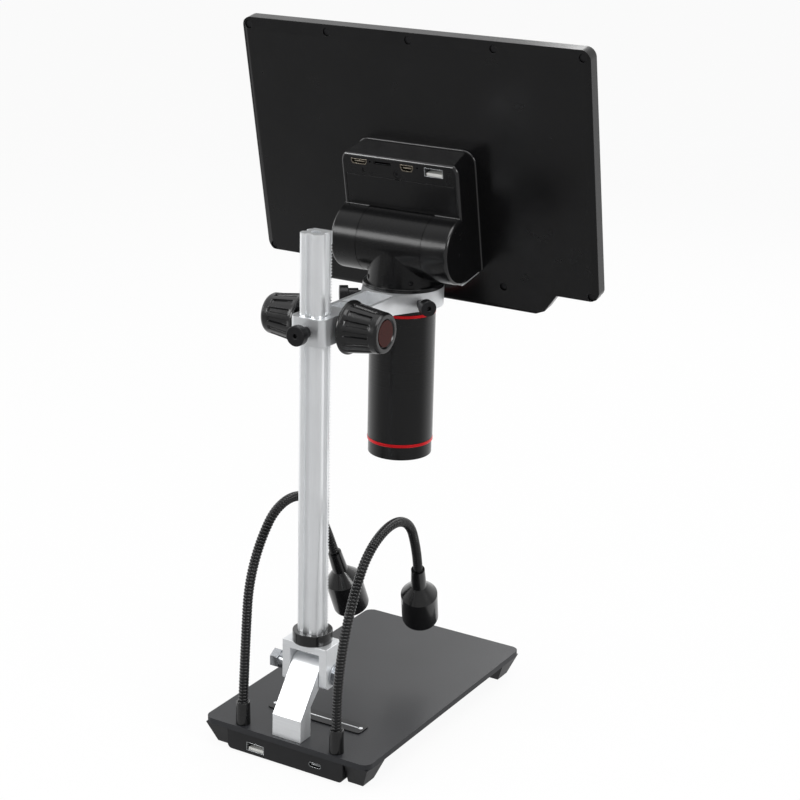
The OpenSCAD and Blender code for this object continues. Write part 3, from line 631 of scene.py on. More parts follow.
@dataclass(frozen=True)
class DisplayGlass(Finish):
    """Bonded cover glass over a panel that is off: near black, with a sharp, slightly wavy reflection."""

    def paint(self, tree: bpy.types.NodeTree, shader: bpy.types.Node) -> None:
        """Adds the coat and a faint unevenness.

        Args:
            tree: The material's tree.
            shader: Its Principled shader.
        """
        shader.inputs["IOR"].default_value = 1.5
        shader.inputs["Coat Weight"].default_value = 0.8
        shader.inputs["Coat Roughness"].default_value = 0.03
        where = self.place(tree)
        self.tone(tree, shader, where, size_mm=70.0, darker=0.85, lighter=1.2)
        wave = add(tree, "ShaderNodeTexNoise", Vector=where, Scale=per_mm(30.0), Detail=2.0)
        self.gloss(tree, shader, wave.outputs["Fac"], spread=0.03)


@dataclass(frozen=True)
class CoiledSheath(Finish):
    """Black sheath over a steel coil: ribs rubbed to a soft shine, dusty in the valleys."""

    def paint(self, tree: bpy.types.NodeTree, shader: bpy.types.Node) -> None:
        """Adds rub and dust.

        Args:
            tree: The material's tree.
            shader: Its Principled shader.
        """
        shader.inputs["IOR"].default_value = 1.5
        shader.inputs["Specular IOR Level"].default_value = 0.42
        where = self.place(tree)
        self.tone(tree, shader, where, size_mm=5.0, darker=0.8, lighter=1.3)
        rub = add(tree, "ShaderNodeTexNoise", Vector=where, Scale=per_mm(2.2), Detail=4.0)
        self.gloss(tree, shader, rub.outputs["Fac"], spread=0.07)
        self.relief(tree, shader, rub.outputs["Fac"], depth_mm=0.02)


PLATE = PowderCoat("Grey_powder_coat_on_steel", "#26272a", 0.42)
BLACK_ABS = MouldedPlastic("Black_ABS_moulded", "#151517", 0.42)
SCREEN_ABS = MouldedPlastic(
    "Black_ABS_fine_grain", "#0c0c0d", 0.24, grain_mm=0.5, grain_depth_mm=0.003, sheen=0.3
)
# the block's black made lighter and glossier for its rims, lip and ledges: the lighter colour is a painted
# highlight along those edges
HIGHLIGHT_EDGE_ABS = MouldedPlastic(
    "Black_ABS_smooth_edge_painted_highlight", "#151516", 0.17, grain_mm=0.5, grain_depth_mm=0.001, sheen=0.6
)
KNOB_ABS = MouldedPlastic(
    "Black_ABS_satin_knob", "#111112", 0.22, grain_mm=0.6, grain_depth_mm=0.002, sheen=0.48
)
BUTTON_ABS = MouldedPlastic("Charcoal_ABS_button", "#26262a", 0.5, grain_mm=0.4)
STRIP_PAINT = PowderCoat("Black_paint_satin", "#131315", 0.38, peel_mm=0.9)
NECK_PAINT = PowderCoat(
    "Black_paint_on_cast_metal", "#0c0c0d", 0.24, peel_mm=0.8, peel_depth_mm=0.006, sheen=0.3
)
PAD_RUBBER = SoftRubber("Black_rubber_moulded", "#1b1b1b", 0.78)
COLUMN_METAL = WorkedMetal(
    "Aluminium_extruded_satin", "#f2f4f6", 0.3, Grain.DRAWN, 0.5, 0.00004,
    metallic=0.66, contrast=0.02, spread=0.01,
)
ARM_METAL = WorkedMetal(
    "Aluminium_milled_satin", "#e6e8ea", 0.34, Grain.DRAWN, 0.45, 0.001,
    metallic=0.75, contrast=0.02, spread=0.03, about=(0.0, 1.0, 0.0),
)
BRACKET_METAL = WorkedMetal(
    "Aluminium_brushed_bracket", "#eef0f2", 0.36, Grain.DRAWN, 0.5, 0.001,
    metallic=0.6, contrast=0.03, spread=0.03, about=(1.0, 0.0, 0.0),
)
ZINC = WorkedMetal("Zinc_plated_steel", "#b6b9bd", 0.24, Grain.BLASTED, 0.9, 0.006, contrast=0.12)
STAMPED = WorkedMetal("Stamped_tin_plated_steel", "#b2b4b6", 0.25, Grain.BLASTED, 0.6, 0.003, contrast=0.06)
VIDEO_SHELL = WorkedMetal("Nickel_flashed_shell", "#a1988a", 0.26, Grain.BLASTED, 0.6, 0.003, contrast=0.08)
BRASS = WorkedMetal("Brass_turned", "#c9a04e", 0.28, Grain.TURNED, 0.5, 0.004, about=(1.0, 0.0, 0.0))
TUBE_METAL = WorkedMetal(
    "Black_anodised_aluminium_turned", "#0c0c0d", 0.24, Grain.TURNED, 0.45, 0.0002,
    metallic=0.2, contrast=0.05, centre=(0.0, HEAD_Y_MM, 0.0),
)
RED_METAL = WorkedMetal(
    "Red_anodised_aluminium", "#d3121c", 0.28, Grain.TURNED, 0.4, 0.003,
    metallic=0.6, contrast=0.08, centre=(0.0, HEAD_Y_MM, 0.0),
)
DISC_PAINT = PowderCoat("Dark_red_lacquer", "#38100a", 0.2, peel_mm=3.0, peel_depth_mm=0.01, sheen=0.07)
SCREW_METAL = WorkedMetal(
    "Black_oxide_steel_turned", "#19191b", 0.36, Grain.BLASTED, 0.7, 0.006, metallic=0.5, contrast=0.12
)
LAMP_SHELL = GlossLacquer("Black_ABS_polished", "#0b0b0c", 0.22)
SHEATH = CoiledSheath("Black_sheath_on_steel_coil", "#0b0b0c", 0.14)
BOARD = SolderMask("Green_solder_mask", "#0d4a31", 0.3)
LAMP_BOARD = SolderMask("White_solder_mask", "#e6e6e0", 0.4, track="#d2d2cc")
LENS = ClearGlass("Coated_optical_glass", "#e8f4f4", 0.03)
FROSTED = ClearGlass("Frosted_lamp_glass", "#f2f2ea", 0.32, frosting=0.1)
COVER_GLASS = DisplayGlass("Display_cover_glass", "#0a0a0c", 0.1)
PANEL = DisplayGlass("Display_panel_off", "#101014", 0.35)
WHITE_INSERT = MouldedPlastic("White_LCP_insert", "#dcdcd8", 0.5, grain_mm=0.8)


# ---- dressing CAD nodes ----

WELD_M = 2e-6
FLAT_DEG = 0.6
EDGE_DEG = 28.0
NORMAL_WEIGHT = 80
WIDE_SEGMENTS = 4
# place of the wide rounding in the modifiers: after the weld and the merging of flats
AFTER_FLATS = 2


def dress(node: str, finish: Finish, edge_mm: float = 0.25, segments: int = 2) -> bpy.types.Object:
    """Gives a CAD node its finish and eases its edges with modifiers.

    Args:
        node: Name of the node.
        finish: Its finish.
        edge_mm: Width of the eased edges; 0 leaves them sharp.
        segments: Segments across an edge.

    Returns:
        The node's object.
    """
    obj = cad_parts[node]
    obj.data.materials.clear()
    obj.data.materials.append(finish.material())
    obj.data.shade_smooth()
    weld = obj.modifiers.new("weld", "WELD")
    weld.merge_threshold = WELD_M
    flat = obj.modifiers.new("merge_flats", "DECIMATE")
    flat.decimate_type = "DISSOLVE"
    flat.angle_limit = math.radians(FLAT_DEG)
    if edge_mm > 0:
        bevel = obj.modifiers.new("eased_edges", "BEVEL")
        bevel.width = edge_mm * MM
        bevel.segments = segments
        bevel.limit_method = "ANGLE"
        bevel.angle_limit = math.radians(EDGE_DEG)
        bevel.use_clamp_overlap = True
        bevel.harden_normals = False
    evened = obj.modifiers.new("even_normals", "WEIGHTED_NORMAL")
    evened.weight = NORMAL_WEIGHT
    evened.keep_sharp = False
    log.info("%s: %s", node, finish.name)
    return obj


def soften(obj: bpy.types.Object, edge_mm: float, finish: Finish, along: Callable[[Vector], bool]) -> None:
    """Rounds the edges whose ends pass a test more widely than the others, before the fine easing.

    Args:
        obj: A dressed node.
        edge_mm: Width of the rounding.
        finish: Finish of the rounding: glossier, as handling keeps it smooth, and lighter than the block,
            which paints a highlight line along the rim.
        along: Test of a vertex in the row frame, in millimetres.
    """
    group = obj.vertex_groups.new(name="wide_edges")
    group.add([v.index for v in obj.data.vertices if along(v.co / MM)], 1.0, "REPLACE")
    wide = obj.modifiers.new("wide_edges", "BEVEL")
    wide.width = edge_mm * MM
    wide.segments = WIDE_SEGMENTS
    wide.limit_method = "VGROUP"
    wide.vertex_group = group.name
    wide.use_clamp_overlap = False
    obj.data.materials.append(finish.material())
    wide.material = len(obj.data.materials) - 1
    obj.modifiers.move(len(obj.modifiers) - 1, AFTER_FLATS)


def repaint(obj: bpy.types.Object, finish: Finish, inside: Callable[[Vector], bool]) -> None:
    """Gives the faces whose centre passes a test another finish.

    Args:
        obj: A dressed node.
        finish: The other finish.
        inside: Test of a face's centre in the row frame, in millimetres.
    """
    obj.data.materials.append(finish.material())
    index = len(obj.data.materials) - 1
    for face in obj.data.polygons:
        if inside(face.center / MM):
            face.material_index = index


# ---- sub-assemblies ----


@dataclass
class Base:
    """Base plate, feet, port box, tilt bracket and pivot.

    Attributes:
        usb_x_mm: Middle of the USB-A socket, across.
        board_z_mm: Underside of the board that the sockets hang from.
    """

    usb_x_mm: float = 21.6
    board_z_mm: float = 9.3

    def build(self) -> None:
        """Dresses the base's nodes."""
        dress("base_plate", PLATE, 0.5, 3)
        dress("base_feet", BLACK_ABS, 0.5)
        dress("foot_pads", PAD_RUBBER, 0.3)
        dress("base_screws", ZINC, 0.2)
        dress("port_box", BLACK_ABS, 0.25)
        dress("base_board", BOARD, 0.0)
        sockets = dress("base_sockets", STAMPED, 0.1)
        repaint(sockets, WHITE_INSERT, self.on_tongue)
        dress("cover_strip", STRIP_PAINT, 0.15)
        dress("strip_rail", COLUMN_METAL, 0.12)
        dress("column_bracket", BRACKET_METAL, 0.5, 3)
        dress("lamp_sleeves", LAMP_SHELL, 0.3, 3)
        dress("pivot_bolt", ZINC, 0.3)
        dress("pivot_nut_set", ZINC, 0.4)

    def on_tongue(self, p: Vector) -> bool:
        """Tells whether a point lies on the USB socket's tongue."""
        return on_tongue(p.x - self.usb_x_mm, self.board_z_mm - p.z)


@dataclass
class Column:
    """Clevis, collar and toothed column."""

    def build(self) -> None:
        """Dresses the column's nodes."""
        dress("clevis", BRACKET_METAL, 0.5, 3)
        dress("column_screw", ZINC, 0.3)
        dress("collar", LAMP_SHELL, 0.5, 3)
        dress("column", COLUMN_METAL, 0.12)


@dataclass
class FocusDrive:
    """Carriage, pinion, focus knobs and the black screws.

    Attributes:
        pinion_y_mm: Pinion axis, rearward.
        focus_z_mm: Pinion axis, height.
        inner_mm: Distance of a knob's inner face from the middle.
        length_mm: Length of a knob.
        flange_mm: Radius of the knob's flange.
        flutes: Number of flutes round the grip.
        flute_steps: Steps of the lathe in each flute.
        flute_mm: Depth of a flute.
        flute_ends_mm: Where the flutes start from the inner face and stop short of the outer one.
        flute_ease_mm: Length over which a flute's end runs out.
        flute_width: Width of a flute as a share of its pitch, and the share that its walls take.
        rim_mm: Step from the flange down to the grip.
        taper_mm: How much the grip narrows towards its outer end.
        bore_mm: Radius of the bore.
        hub_mm: Radius and length of the hub behind the inner face.
        recess_mm: Radius and depth of the recess that holds the disc.
    """

    pinion_y_mm: float = 53.5
    focus_z_mm: float = 272.7
    inner_mm: float = 14.4
    length_mm: float = 25.8
    flange_mm: float = 16.2
    flutes: int = 14
    flute_steps: int = 22
    flute_mm: float = 1.25
    flute_ends_mm: tuple[float, float] = (4.6, 5.2)
    flute_ease_mm: float = 1.1
    flute_width: tuple[float, float] = (0.56, 0.16)
    rim_mm: float = 1.25
    taper_mm: float = 2.3
    bore_mm: float = 2.52
    hub_mm: tuple[float, float] = (6.5, 2.0)
    recess_mm: tuple[float, float] = (8.2, 1.05)

    def build(self) -> None:
        """Dresses the nodes and builds the fluted knobs."""
        dress("carriage", ARM_METAL, 0.3)
        dress("pinion_bushes", BRASS, 0.15)
        dress("pinion_shaft", ZINC, 0.0)
        dress("knob_discs", DISC_PAINT, 0.15)
        for screw in ("lock_screw", "clamp_screw_left", "clamp_screw_right"):
            dress(screw, SCREW_METAL, 0.5, 3)
        self.knobs()

    def grip(self, r: float, z: float, a: float) -> float:
        """Sinks the flutes into the grip.

        Args:
            r: Radius of the smooth profile, in millimetres.
            z: Distance from the knob's inner face, in millimetres.
            a: Angle round the axis.

        Returns:
            The radius with the flutes, in millimetres.
        """
        start, end = self.flute_ends_mm[0], self.length_mm - self.flute_ends_mm[1]
        if r < self.flange_mm - self.rim_mm - self.taper_mm or not start < z < end:
            return r
        along = min(1.0, (z - start) / self.flute_ease_mm, (end - z) / self.flute_ease_mm)
        across = abs(((a * self.flutes / (2 * math.pi)) % 1.0) - 0.5) * 2
        width, walls = self.flute_width
        wall = min(1.0, max(0.0, (width - across) / walls))
        smooth = wall * wall * (3 - 2 * wall) * math.sin(0.5 * math.pi * along)
        return r - self.flute_mm * smooth

    def knobs(self) -> None:
        """Builds both focus knobs as fluted lathe pieces."""
        obj, bm = mesh_object("focus_knob_grips", "pinion")
        end, rim, rows = self.length_mm, self.flange_mm, 44
        hub, back = self.hub_mm
        recess, sunk = self.recess_mm
        flange = [
            (self.bore_mm, -back, 0.0),
            (hub, -back, 0.3),
            (hub, 0.4, 0.2),
            (rim - 0.7, 0.45, 0.4),
            (rim, 1.1, 0.5),
            (rim, 2.3, 0.6),
            (rim - 1.0, 2.8, 0.3),
            (rim - self.rim_mm, 4.4, 0.0),
        ]
        grip = [
            (rim - self.rim_mm - self.taper_mm * t, 4.4 + (end - 9.4) * t)
            for t in [i / rows for i in range(1, rows + 1)]
        ]
        nose = [
            (rim - 3.6, end - 4.4, 0.0),
            (rim - 3.85, end - 1.6, 0.5),
            (rim - 4.7, end, 0.9),
            (recess + 1.0, end, 0.5),
            (recess, end - 0.9, 0.2),
            (recess, end - sunk, 0.0),
            (0.0, end - sunk, 0.0),
        ]
        profile = rounded(flange) + grip + rounded(nose)
        for side in (-1, 1):
            turn = Matrix.Rotation(math.radians(90 * side), 4, "Y")
            place = Matrix.Translation(
                Vector((side * self.inner_mm, self.pinion_y_mm, self.focus_z_mm)) * MM
            ) @ turn
            lathe(bm, place, profile, self.flutes * self.flute_steps, self.grip)
        seal(obj, bm, smooth_deg=50)
        obj.data.materials.append(KNOB_ABS.material())
        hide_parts("focus_knobs")
        log.info("focus_knob_grips: %s", KNOB_ABS.name)


@dataclass
class Head:
    """Seat ring, neck, tube and the optics inside."""

    def build(self) -> None:
        """Dresses the head's nodes."""
        dress("seat_ring", TUBE_METAL, 0.4, 3)
        dress("neck", NECK_PAINT, 0.5, 3)
        dress("neck_screws", SCREW_METAL, 0.0)
        dress("red_rings", RED_METAL, 0.2)
        dress("tube", TUBE_METAL, 0.3)
        dress("end_cap", TUBE_METAL, 0.5, 3)
        dress("window", LENS, 0.1)
        dress("led_board", LAMP_BOARD, 0.0)
        dress("lens_barrel", TUBE_METAL, 0.3)
        dress("lenses", LENS, 0.1)
        dress("sensor_board", BOARD, 0.0)
        dress("hinge_shaft", ZINC, 0.3)


@dataclass
class ScreenUnit:
    """Port block and screen housing.

    Attributes:
        lean_deg: Backward lean of the screen.
        hinge_y_mm: Hinge axis, rearward.
        hinge_z_mm: Hinge axis, height.
        port_v_mm: Underside of the port board in the screen's frame.
        usb_u_mm: Middle of the USB socket in the screen's frame.
        block_half_mm: Half the port block's width.
        block_top_mm: Top of the port block.
        block_corner_mm: Radius of its upper corners.
        block_below_mm: Reach of the block below the hinge.
        block_deep_mm: Depth of the block from the hinge axis to the rear cover.
        ledge_mm: Ends of the ledge on the barrel's outer parts, across.
        ledge_v_mm: Height of that ledge.
        video_mm: Where the larger video socket starts across, and the smaller one's middle and half width.
        card_mm: Ends of the memory card slot, across.
    """

    lean_deg: float = 11.3
    hinge_y_mm: float = HEAD_Y_MM
    hinge_z_mm: float = 304.5
    port_v_mm: float = 51.4
    usb_u_mm: float = -24.5
    block_half_mm: float = 41.5
    block_top_mm: float = 56.4
    block_corner_mm: float = 8.0
    block_below_mm: float = 21.1
    block_deep_mm: float = 22.0
    ledge_mm: tuple[float, float] = (23.4, 41.0)
    ledge_v_mm: float = 21.0
    video_mm: tuple[float, float, float] = (20.0, -5.7, 5.2)
    card_mm: tuple[float, float] = (4.0, 18.5)

    def local(self, p: Vector) -> Vector:
        """Turns a point of the row frame into the screen's frame, both in millimetres."""
        return Matrix.Rotation(math.radians(self.lean_deg), 3, "X") @ (
            p - Vector((0, self.hinge_y_mm, self.hinge_z_mm))
        )

    def build(self) -> None:
        """Dresses the screen's nodes."""
        block = dress("port_block", SCREEN_ABS, 0.12)
        # the wide rounding takes the lighter edge black, a painted highlight line round the block's rim
        soften(block, 1.7, HIGHLIGHT_EDGE_ABS, self.on_block_rim)
        self.lip()
        self.ledges()
        dress("hatch", SCREEN_ABS, 0.15)
        dress("hinge_plates", BRACKET_METAL, 0.2)
        dress("port_board", BOARD, 0.0)
        sockets = dress("port_sockets", STAMPED, 0.08)
        repaint(sockets, WHITE_INSERT, self.on_usb_tongue)
        repaint(sockets, VIDEO_SHELL, self.on_video_shell)
        repaint(sockets, SCREW_METAL, self.on_card_slot)
        dress("rear_cover", SCREEN_ABS, 0.35, 3)
        dress("cover_screws", SCREW_METAL, 0.1)
        dress("front_bezel", SCREEN_ABS, 0.35, 3)
        dress("screen_panel", PANEL, 0.0)
        dress("screen_glass", COVER_GLASS, 0.1)
        dress("main_board", BOARD, 0.0)
        dress("button_board", BOARD, 0.0)
        for i in range(1, 6):
            dress(f"button_{i}", BUTTON_ABS, 0.3, 3)

    def bead(
        self,
        name: str,
        path: Sequence[tuple[float, float]],
        depth_mm: float,
        radius_mm: float,
        sides: int = 12,
    ) -> None:
        """Lays a fine round bead along a path on the port block.

        Args:
            name: Name of the piece.
            path: Points (across, up) in the screen's frame.
            depth_mm: Place of the path from the hinge axis, rearward.
            radius_mm: Radius of the bead.
            sides: Faces round the bead.
        """
        obj, bm = mesh_object(name, "screen")
        back = Matrix.Rotation(math.radians(-self.lean_deg), 3, "X")
        hinge = Vector((0, self.hinge_y_mm, self.hinge_z_mm))
        rings: list[list[bmesh.types.BMVert]] = []
        for i, (u, v) in enumerate(path):
            before, after = path[max(0, i - 1)], path[min(len(path) - 1, i + 1)]
            out = Vector((before[1] - after[1], 0, after[0] - before[0])).normalized()
            ring = []
            for k in range(sides):
                a = 2 * math.pi * k / sides
                off = math.cos(a) * out + math.sin(a) * Vector((0, 1, 0))
                at = Vector((u, depth_mm, v)) + radius_mm * off
                ring.append(bm.verts.new((back @ at + hinge) * MM))
            rings.append(ring)
        close_rod(bm, rings)
        seal(obj, bm, smooth_deg=60)
        # the bead takes the lighter edge black, a painted highlight line
        obj.data.materials.append(HIGHLIGHT_EDGE_ABS.material())
        log.info("%s: %s", name, HIGHLIGHT_EDGE_ABS.name)

    def lip(self) -> None:
        """Rounds the corner where the port block stands on the rear cover."""
        sunk, steps = 0.1, 8
        half, top, corner = self.block_half_mm - sunk, self.block_top_mm - sunk, self.block_corner_mm
        right = [
            (half - corner + corner * math.cos(a), top - corner + corner * math.sin(a))
            for a in (0.5 * math.pi * k / steps for k in range(steps + 1))
        ]
        left = [(-u, v) for u, v in reversed(right)]
        path = [(half, -self.block_below_mm), *right, *left, (-half, -self.block_below_mm)]
        self.bead("block_lip", path, depth_mm=-self.block_deep_mm, radius_mm=0.9)

    def ledges(self) -> None:
        """Marks the ledge where the block's face meets the outer parts of the barrel."""
        for side, label in ((1, "right"), (-1, "left")):
            ends = [(side * u, self.ledge_v_mm) for u in self.ledge_mm]
            self.bead(f"barrel_ledge_{label}", ends, depth_mm=-0.5, radius_mm=0.55)

    def on_block_rim(self, p: Vector) -> bool:
        """Tells whether a point lies on the outer rim of the port block's rear.

        Args:
            p: A point of the row frame, in millimetres.

        Returns:
            True on the block's sides behind the rear cover, and on the face round its upper corners.
        """
        q = self.local(p)
        side = abs(q.x) > self.block_half_mm - 0.05 and q.y > 1.0 - self.block_deep_mm
        round_corner = abs(q.x) > self.block_half_mm - self.block_corner_mm - 0.1
        return side or (round_corner and q.y > -0.7 and q.z > self.block_top_mm - self.block_corner_mm - 1.9)

    def on_usb_tongue(self, p: Vector) -> bool:
        """Tells whether a point lies on the USB socket's tongue."""
        q = self.local(p)
        return on_tongue(q.x - self.usb_u_mm, self.port_v_mm - q.z)

    def on_video_shell(self, p: Vector) -> bool:
        """Tells whether a point lies on one of the two video sockets."""
        larger, middle, half = self.video_mm
        return self.local(p).x > larger or abs(self.local(p).x - middle) < half

    def on_card_slot(self, p: Vector) -> bool:
        """Tells whether a point lies on the dark memory card slot."""
        return self.card_mm[0] < self.local(p).x < self.card_mm[1]


@dataclass
class Lamp:
    """One gooseneck with its lamp head.

    Attributes:
        label: left or right.
        side: -1 or 1, the sleeve's side.
        lean_deg: Lean at the sleeve.
        turn_deg: Turn of the bending plane.
        path: (bend radius in millimetres, bend angle, roll before the bend), from the sleeve up.
        start_mm: Sleeve place and height.
        neck_mm: Radius of the neck.
        pitch_mm: Spacing of the coil's ribs.
        rib_mm: Depth of the ribs.
        seam_mm: Straight bit between two bends.
        sleeve_mm: Straight length inside the sleeve.
        head_mm: Straight length inside the lamp head.
        sides: Faces round the neck.
        pitch_steps: Rings of faces in each rib.
    """

    label: str
    side: int
    lean_deg: float
    turn_deg: float
    path: list[tuple[float, float, float]]
    start_mm: tuple[float, float, float] = (34.3, 92.3, 33.2)
    neck_mm: float = 3.1
    pitch_mm: float = 2.0
    rib_mm: float = 0.75
    seam_mm: float = 0.1
    sleeve_mm: float = 11.0
    head_mm: float = 5.5
    sides: int = 20
    pitch_steps: int = 10

    def frames(self, step_mm: float) -> list[tuple[float, float, Matrix]]:
        """Walks along the neck.

        Args:
            step_mm: Distance between two frames.

        Returns:
            (distance, angle to take off so that the rings stay aligned, frame in metres) for each step.
        """
        x, y, z = self.start_mm
        here = (
            Matrix.Translation(Vector((self.side * x, y, z)) * MM)
            @ Matrix.Rotation(math.radians(-90 - self.turn_deg), 4, "Z")
            @ Matrix.Rotation(math.radians(self.lean_deg), 4, "Y")
        )
        out: list[tuple[float, float, Matrix]] = []
        for i in range(int(self.sleeve_mm / step_mm)):
            s = i * step_mm
            out.append((s, 0.0, here @ Matrix.Translation(Vector((0, 0, s - self.sleeve_mm)) * MM)))
        run, roll = self.sleeve_mm, 0.0
        for radius, angle, twist in self.path:
            here = here @ Matrix.Rotation(math.radians(twist), 4, "Z")
            roll += math.radians(twist)
            length = math.radians(angle) * radius
            count = max(2, int(length / step_mm))
            for i in range(count):
                t = math.radians(angle) * i / count
                out.append((run + length * i / count, roll, here @ self.bend(radius, t)))
            run += length + self.seam_mm
            here = here @ self.bend(radius, math.radians(angle)) @ Matrix.Translation(
                Vector((0, 0, self.seam_mm)) * MM
            )
        for i in range(int(self.head_mm / step_mm)):
            s = i * step_mm
            out.append((run + s, roll, here @ Matrix.Translation(Vector((0, 0, s)) * MM)))
        return out

    @staticmethod
    def bend(radius: float, angle: float) -> Matrix:
        """Gives the frame at an angle along a bend of a radius in millimetres, from the bend's start."""
        off = Vector((radius, 0, 0)) * MM
        return Matrix.Translation(off) @ Matrix.Rotation(angle, 4, "Y") @ Matrix.Translation(-off)

    def build(self) -> None:
        """Builds the ribbed neck and dresses the lamp head."""
        obj, bm = mesh_object(f"coiled_neck_{self.label}", f"lamp_arm_{self.label}")
        rings: list[list[bmesh.types.BMVert]] = []
        for s, roll, place in self.frames(self.pitch_mm / self.pitch_steps):
            ring = []
            for k in range(self.sides):
                a = 2 * math.pi * k / self.sides
                off = abs((s / self.pitch_mm - a / (2 * math.pi)) % 1.0 - 0.5) * 2
                r = (self.neck_mm - self.rib_mm * (1 - math.sqrt(max(0.0, 1 - off * off)))) * MM
                ring.append(bm.verts.new(place @ Vector((r * math.cos(a - roll), r * math.sin(a - roll), 0))))
            rings.append(ring)
        close_rod(bm, rings)
        seal(obj, bm, smooth_deg=80)
        obj.data.materials.append(SHEATH.material())
        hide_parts(f"gooseneck_{self.label}")
        dress(f"lamp_{self.label}", LAMP_SHELL, 0.35, 3)
        dress(f"lamp_lens_{self.label}", FROSTED, 0.15)
        log.info("coiled_neck_%s: %s", self.label, SHEATH.name)


@dataclass
class Studio:
    """Floor, lights, world and camera.

    Attributes:
        eye_mm: Place of the camera.
        azimuth_deg: Direction of the camera round the object.
        elevation_deg: Height angle of the camera.
        roll_deg: Roll of the camera.
        lens_mm: Focal length.
        sensor_mm: Width of the sensor.
        clip_m: Nearest and farthest distance that the camera sees.
        sweep: Direction towards the middle of the white sweep.
        room_level: Brightness of the room behind the camera, as gloss sees it.
        table_level: Brightness of the table on the camera's side, as gloss sees it.
        fill_level: Strength of the even fill light.
        floor_share: Share of the floor's white that no shadow darkens.
        floor_m: Width of the floor.
        floor_z_m: Height of the floor, just below the pads.
        lamps: Place, target, side in metres and watts of each softbox.
    """

    eye_mm: tuple[float, float, float] = (-598.5, 986.6, 587.7)
    azimuth_deg: float = 210.43
    elevation_deg: float = 18.082
    roll_deg: float = 1.3144
    lens_mm: float = 88.0
    sensor_mm: float = 36.0
    clip_m: tuple[float, float] = (0.05, 30.0)
    sweep: tuple[float, float, float] = (0.4815, -0.8197, 0.3104)
    room_level: float = 0.45
    table_level: float = 0.4
    fill_level: float = 0.38
    floor_share: float = 0.93
    floor_m: float = 14.0
    floor_z_m: float = -0.0002
    lamps: list[tuple[tuple[float, float, float], tuple[float, float, float], float, float]] = field(
        default_factory=lambda: [
            ((-0.3, 0.2, 1.3), (0.0, 0.0, 0.2), 0.9, 7.2),
            ((1.35, 0.35, 0.7), (0.0, 0.0, 0.2), 0.6, 3.4),
            ((-1.4, 0.3, 0.8), (0.0, 0.0, 0.2), 0.45, 5.6),
            ((0.76, 1.2, 0.78), (0.0, 0.0, 0.2), 0.42, 5.6),
            ((0.2, -1.2, 0.9), (0.0, 0.0, 0.25), 0.6, 4.8),
        ]
    )

    def build(self) -> None:
        """Builds the stage, the lights and the camera."""
        self.floor()
        self.world()
        for i, (place, target, size, power) in enumerate(self.lamps):
            data = bpy.data.lights.new(f"softbox_{i}", "AREA")
            data.shape, data.size, data.energy = "SQUARE", size, power
            obj = bpy.data.objects.new(data.name, data)
            obj.location = place
            obj.rotation_euler = (Vector(target) - Vector(place)).to_track_quat("-Z", "Y").to_euler()
            bpy.context.scene.collection.objects.link(obj)
        self.camera()
        bpy.context.scene.view_settings.view_transform = "Standard"

    def seen(self, tree: bpy.types.NodeTree) -> bpy.types.NodeSocket:
        """Tells the rays that see the backdrop from those that light the object.

        Args:
            tree: The node tree.

        Returns:
            1 for camera, glossy and transmission rays, else 0.
        """
        rays = add(tree, "ShaderNodeLightPath").outputs
        most = {"operation": "MAXIMUM"}
        first = add(tree, "ShaderNodeMath", most, i0=rays["Is Camera Ray"], i1=rays["Is Glossy Ray"])
        return add(
            tree, "ShaderNodeMath", most, i0=first.outputs[0], i1=rays["Is Transmission Ray"]
        ).outputs[0]

    def level(
        self,
        tree: bpy.types.NodeTree,
        where: bpy.types.NodeSocket,
        dim_at: float,
        white_at: float,
        dim: float,
    ) -> bpy.types.NodeSocket:
        """Gives the brightness of the surroundings: white, but dimmer towards the camera's side for gloss.

        Args:
            tree: The node tree.
            where: A direction or a place.
            dim_at: Reach towards the sweep at which the dim level is met.
            white_at: Reach towards the sweep at which white is met.
            dim: The dim level.

        Returns:
            The strength of the light.
        """
        reach = add(tree, "ShaderNodeVectorMath", {"operation": "DOT_PRODUCT"}, i0=where, i1=self.sweep)
        room = add(tree, "ShaderNodeMapRange", {"interpolation_type": "SMOOTHSTEP"}, i3=dim, i4=1.0)
        room.inputs[1].default_value, room.inputs[2].default_value = dim_at, white_at
        tree.links.new(reach.outputs["Value"], room.inputs["Value"])
        glossy = add(tree, "ShaderNodeLightPath").outputs["Is Glossy Ray"]
        mix = add(tree, "ShaderNodeMix", {"data_type": "FLOAT"}, Factor=glossy, i2=1.0, i3=room.outputs[0])
        return mix.outputs[0]

    def world(self) -> None:
        """Makes a plain white backdrop and a soft grey fill.

        Gloss shows the white sweep behind the object and the dimmer room behind the camera.
        """
        world = bpy.data.worlds.new("Studio_white")
        bpy.context.scene.world = world
        world.use_nodes = True
        tree = world.node_tree
        tree.nodes.clear()
        where = add(tree, "ShaderNodeTexCoord").outputs["Generated"]
        level = self.level(tree, where, dim_at=-0.35, white_at=0.45, dim=self.room_level)
        fill = add(tree, "ShaderNodeBackground", Color=(1, 1, 1, 1), Strength=self.fill_level)
        white = add(tree, "ShaderNodeBackground", Color=(1, 1, 1, 1), Strength=level)
        mix = add(tree, "ShaderNodeMixShader", Fac=self.seen(tree), i1=fill.outputs[0], i2=white.outputs[0])
        add(tree, "ShaderNodeOutputWorld", Surface=mix.outputs[0])

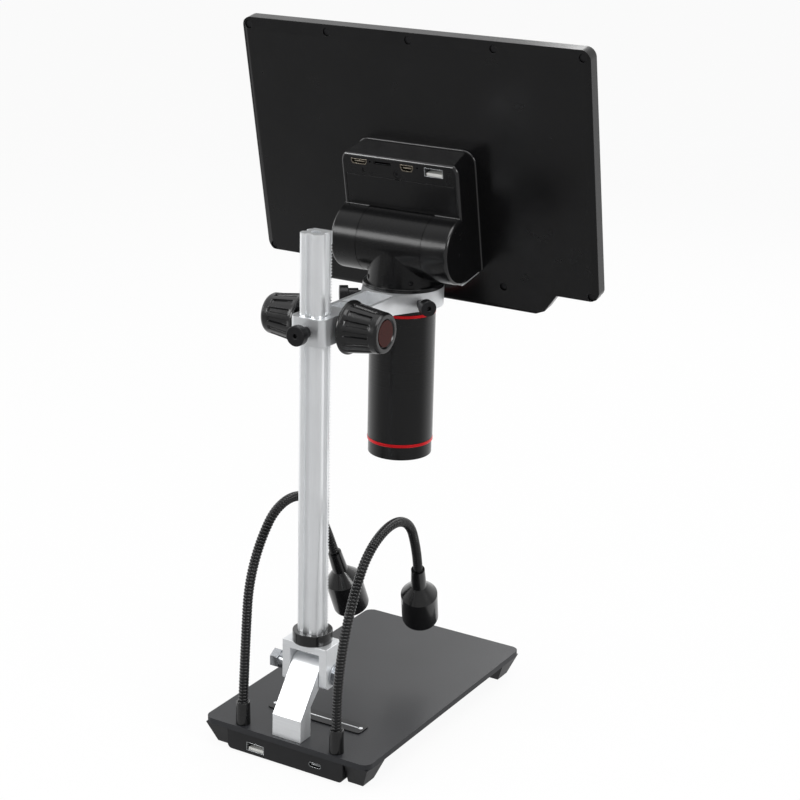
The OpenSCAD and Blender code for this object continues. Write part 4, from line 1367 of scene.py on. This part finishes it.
    def floor(self) -> None:
        """Lays a pale floor that keeps the object's shadow."""
        bpy.ops.mesh.primitive_grid_add(
            x_subdivisions=8, y_subdivisions=8, size=self.floor_m, location=(0, 0, self.floor_z_m)
        )
        floor = bpy.context.object
        floor.name = "studio_floor"
        made = bpy.data.materials.new("Studio_paper_white")
        made.use_nodes = True
        tree = made.node_tree
        tree.nodes.clear()
        paper = add(tree, "ShaderNodeBsdfPrincipled", Base_Color=linear("#f4f4f4"), Roughness=0.9)
        where = add(tree, "ShaderNodeNewGeometry").outputs["Position"]
        level = self.level(tree, where, dim_at=-0.2, white_at=0.3, dim=self.table_level)
        glow = add(tree, "ShaderNodeEmission", Color=(1, 1, 1, 1), Strength=level)
        times = {"operation": "MULTIPLY"}
        share = add(tree, "ShaderNodeMath", times, i0=self.seen(tree), i1=self.floor_share)
        mix = add(tree, "ShaderNodeMixShader", Fac=share.outputs[0], i1=paper.outputs[0], i2=glow.outputs[0])
        add(tree, "ShaderNodeOutputMaterial", Surface=mix.outputs[0])
        floor.data.materials.append(made)

    def camera(self) -> None:
        """Sets up the camera."""
        a, e, r = (math.radians(v) for v in (self.azimuth_deg, self.elevation_deg, self.roll_deg))
        back = Vector((math.sin(a) * math.cos(e), -math.cos(a) * math.cos(e), math.sin(e)))
        right = Vector((0, 0, 1)).cross(back).normalized()
        up = back.cross(right)
        right, up = math.cos(r) * right + math.sin(r) * up, math.cos(r) * up - math.sin(r) * right
        data = bpy.data.cameras.new("Camera")
        data.lens, data.sensor_width, data.sensor_fit = self.lens_mm, self.sensor_mm, "HORIZONTAL"
        data.clip_start, data.clip_end = self.clip_m
        camera = bpy.data.objects.new("Camera", data)
        turn = Matrix((right, up, back)).transposed()
        camera.matrix_world = Matrix.Translation(Vector(self.eye_mm) * MM) @ turn.to_4x4()
        bpy.context.scene.collection.objects.link(camera)
        bpy.context.scene.camera = camera


def main() -> None:
    """Builds every sub-assembly, then the studio, and logs the finish of each piece."""
    logging.basicConfig(level=logging.INFO, format="%(message)s")
    Base().build()
    Column().build()
    FocusDrive().build()
    Head().build()
    ScreenUnit().build()
    Lamp(
        "right", 1, lean_deg=7.1, turn_deg=-18.3,
        path=[(902.5, 3.8, 0.0), (99.8, 30.8, -30.3), (29.0, 111.0, 6.6), (431.2, 5.1, 12.7)],
    ).build()
    Lamp(
        "left", -1, lean_deg=-2.8, turn_deg=2.9,
        path=[(171.0, 32.2, 0.0), (40.4, 36.8, 4.9), (40.8, 81.1, 4.5), (217.2, 9.2, 16.4)],
    ).build()
    Studio().build()


if __name__ == "__main__":
    main()
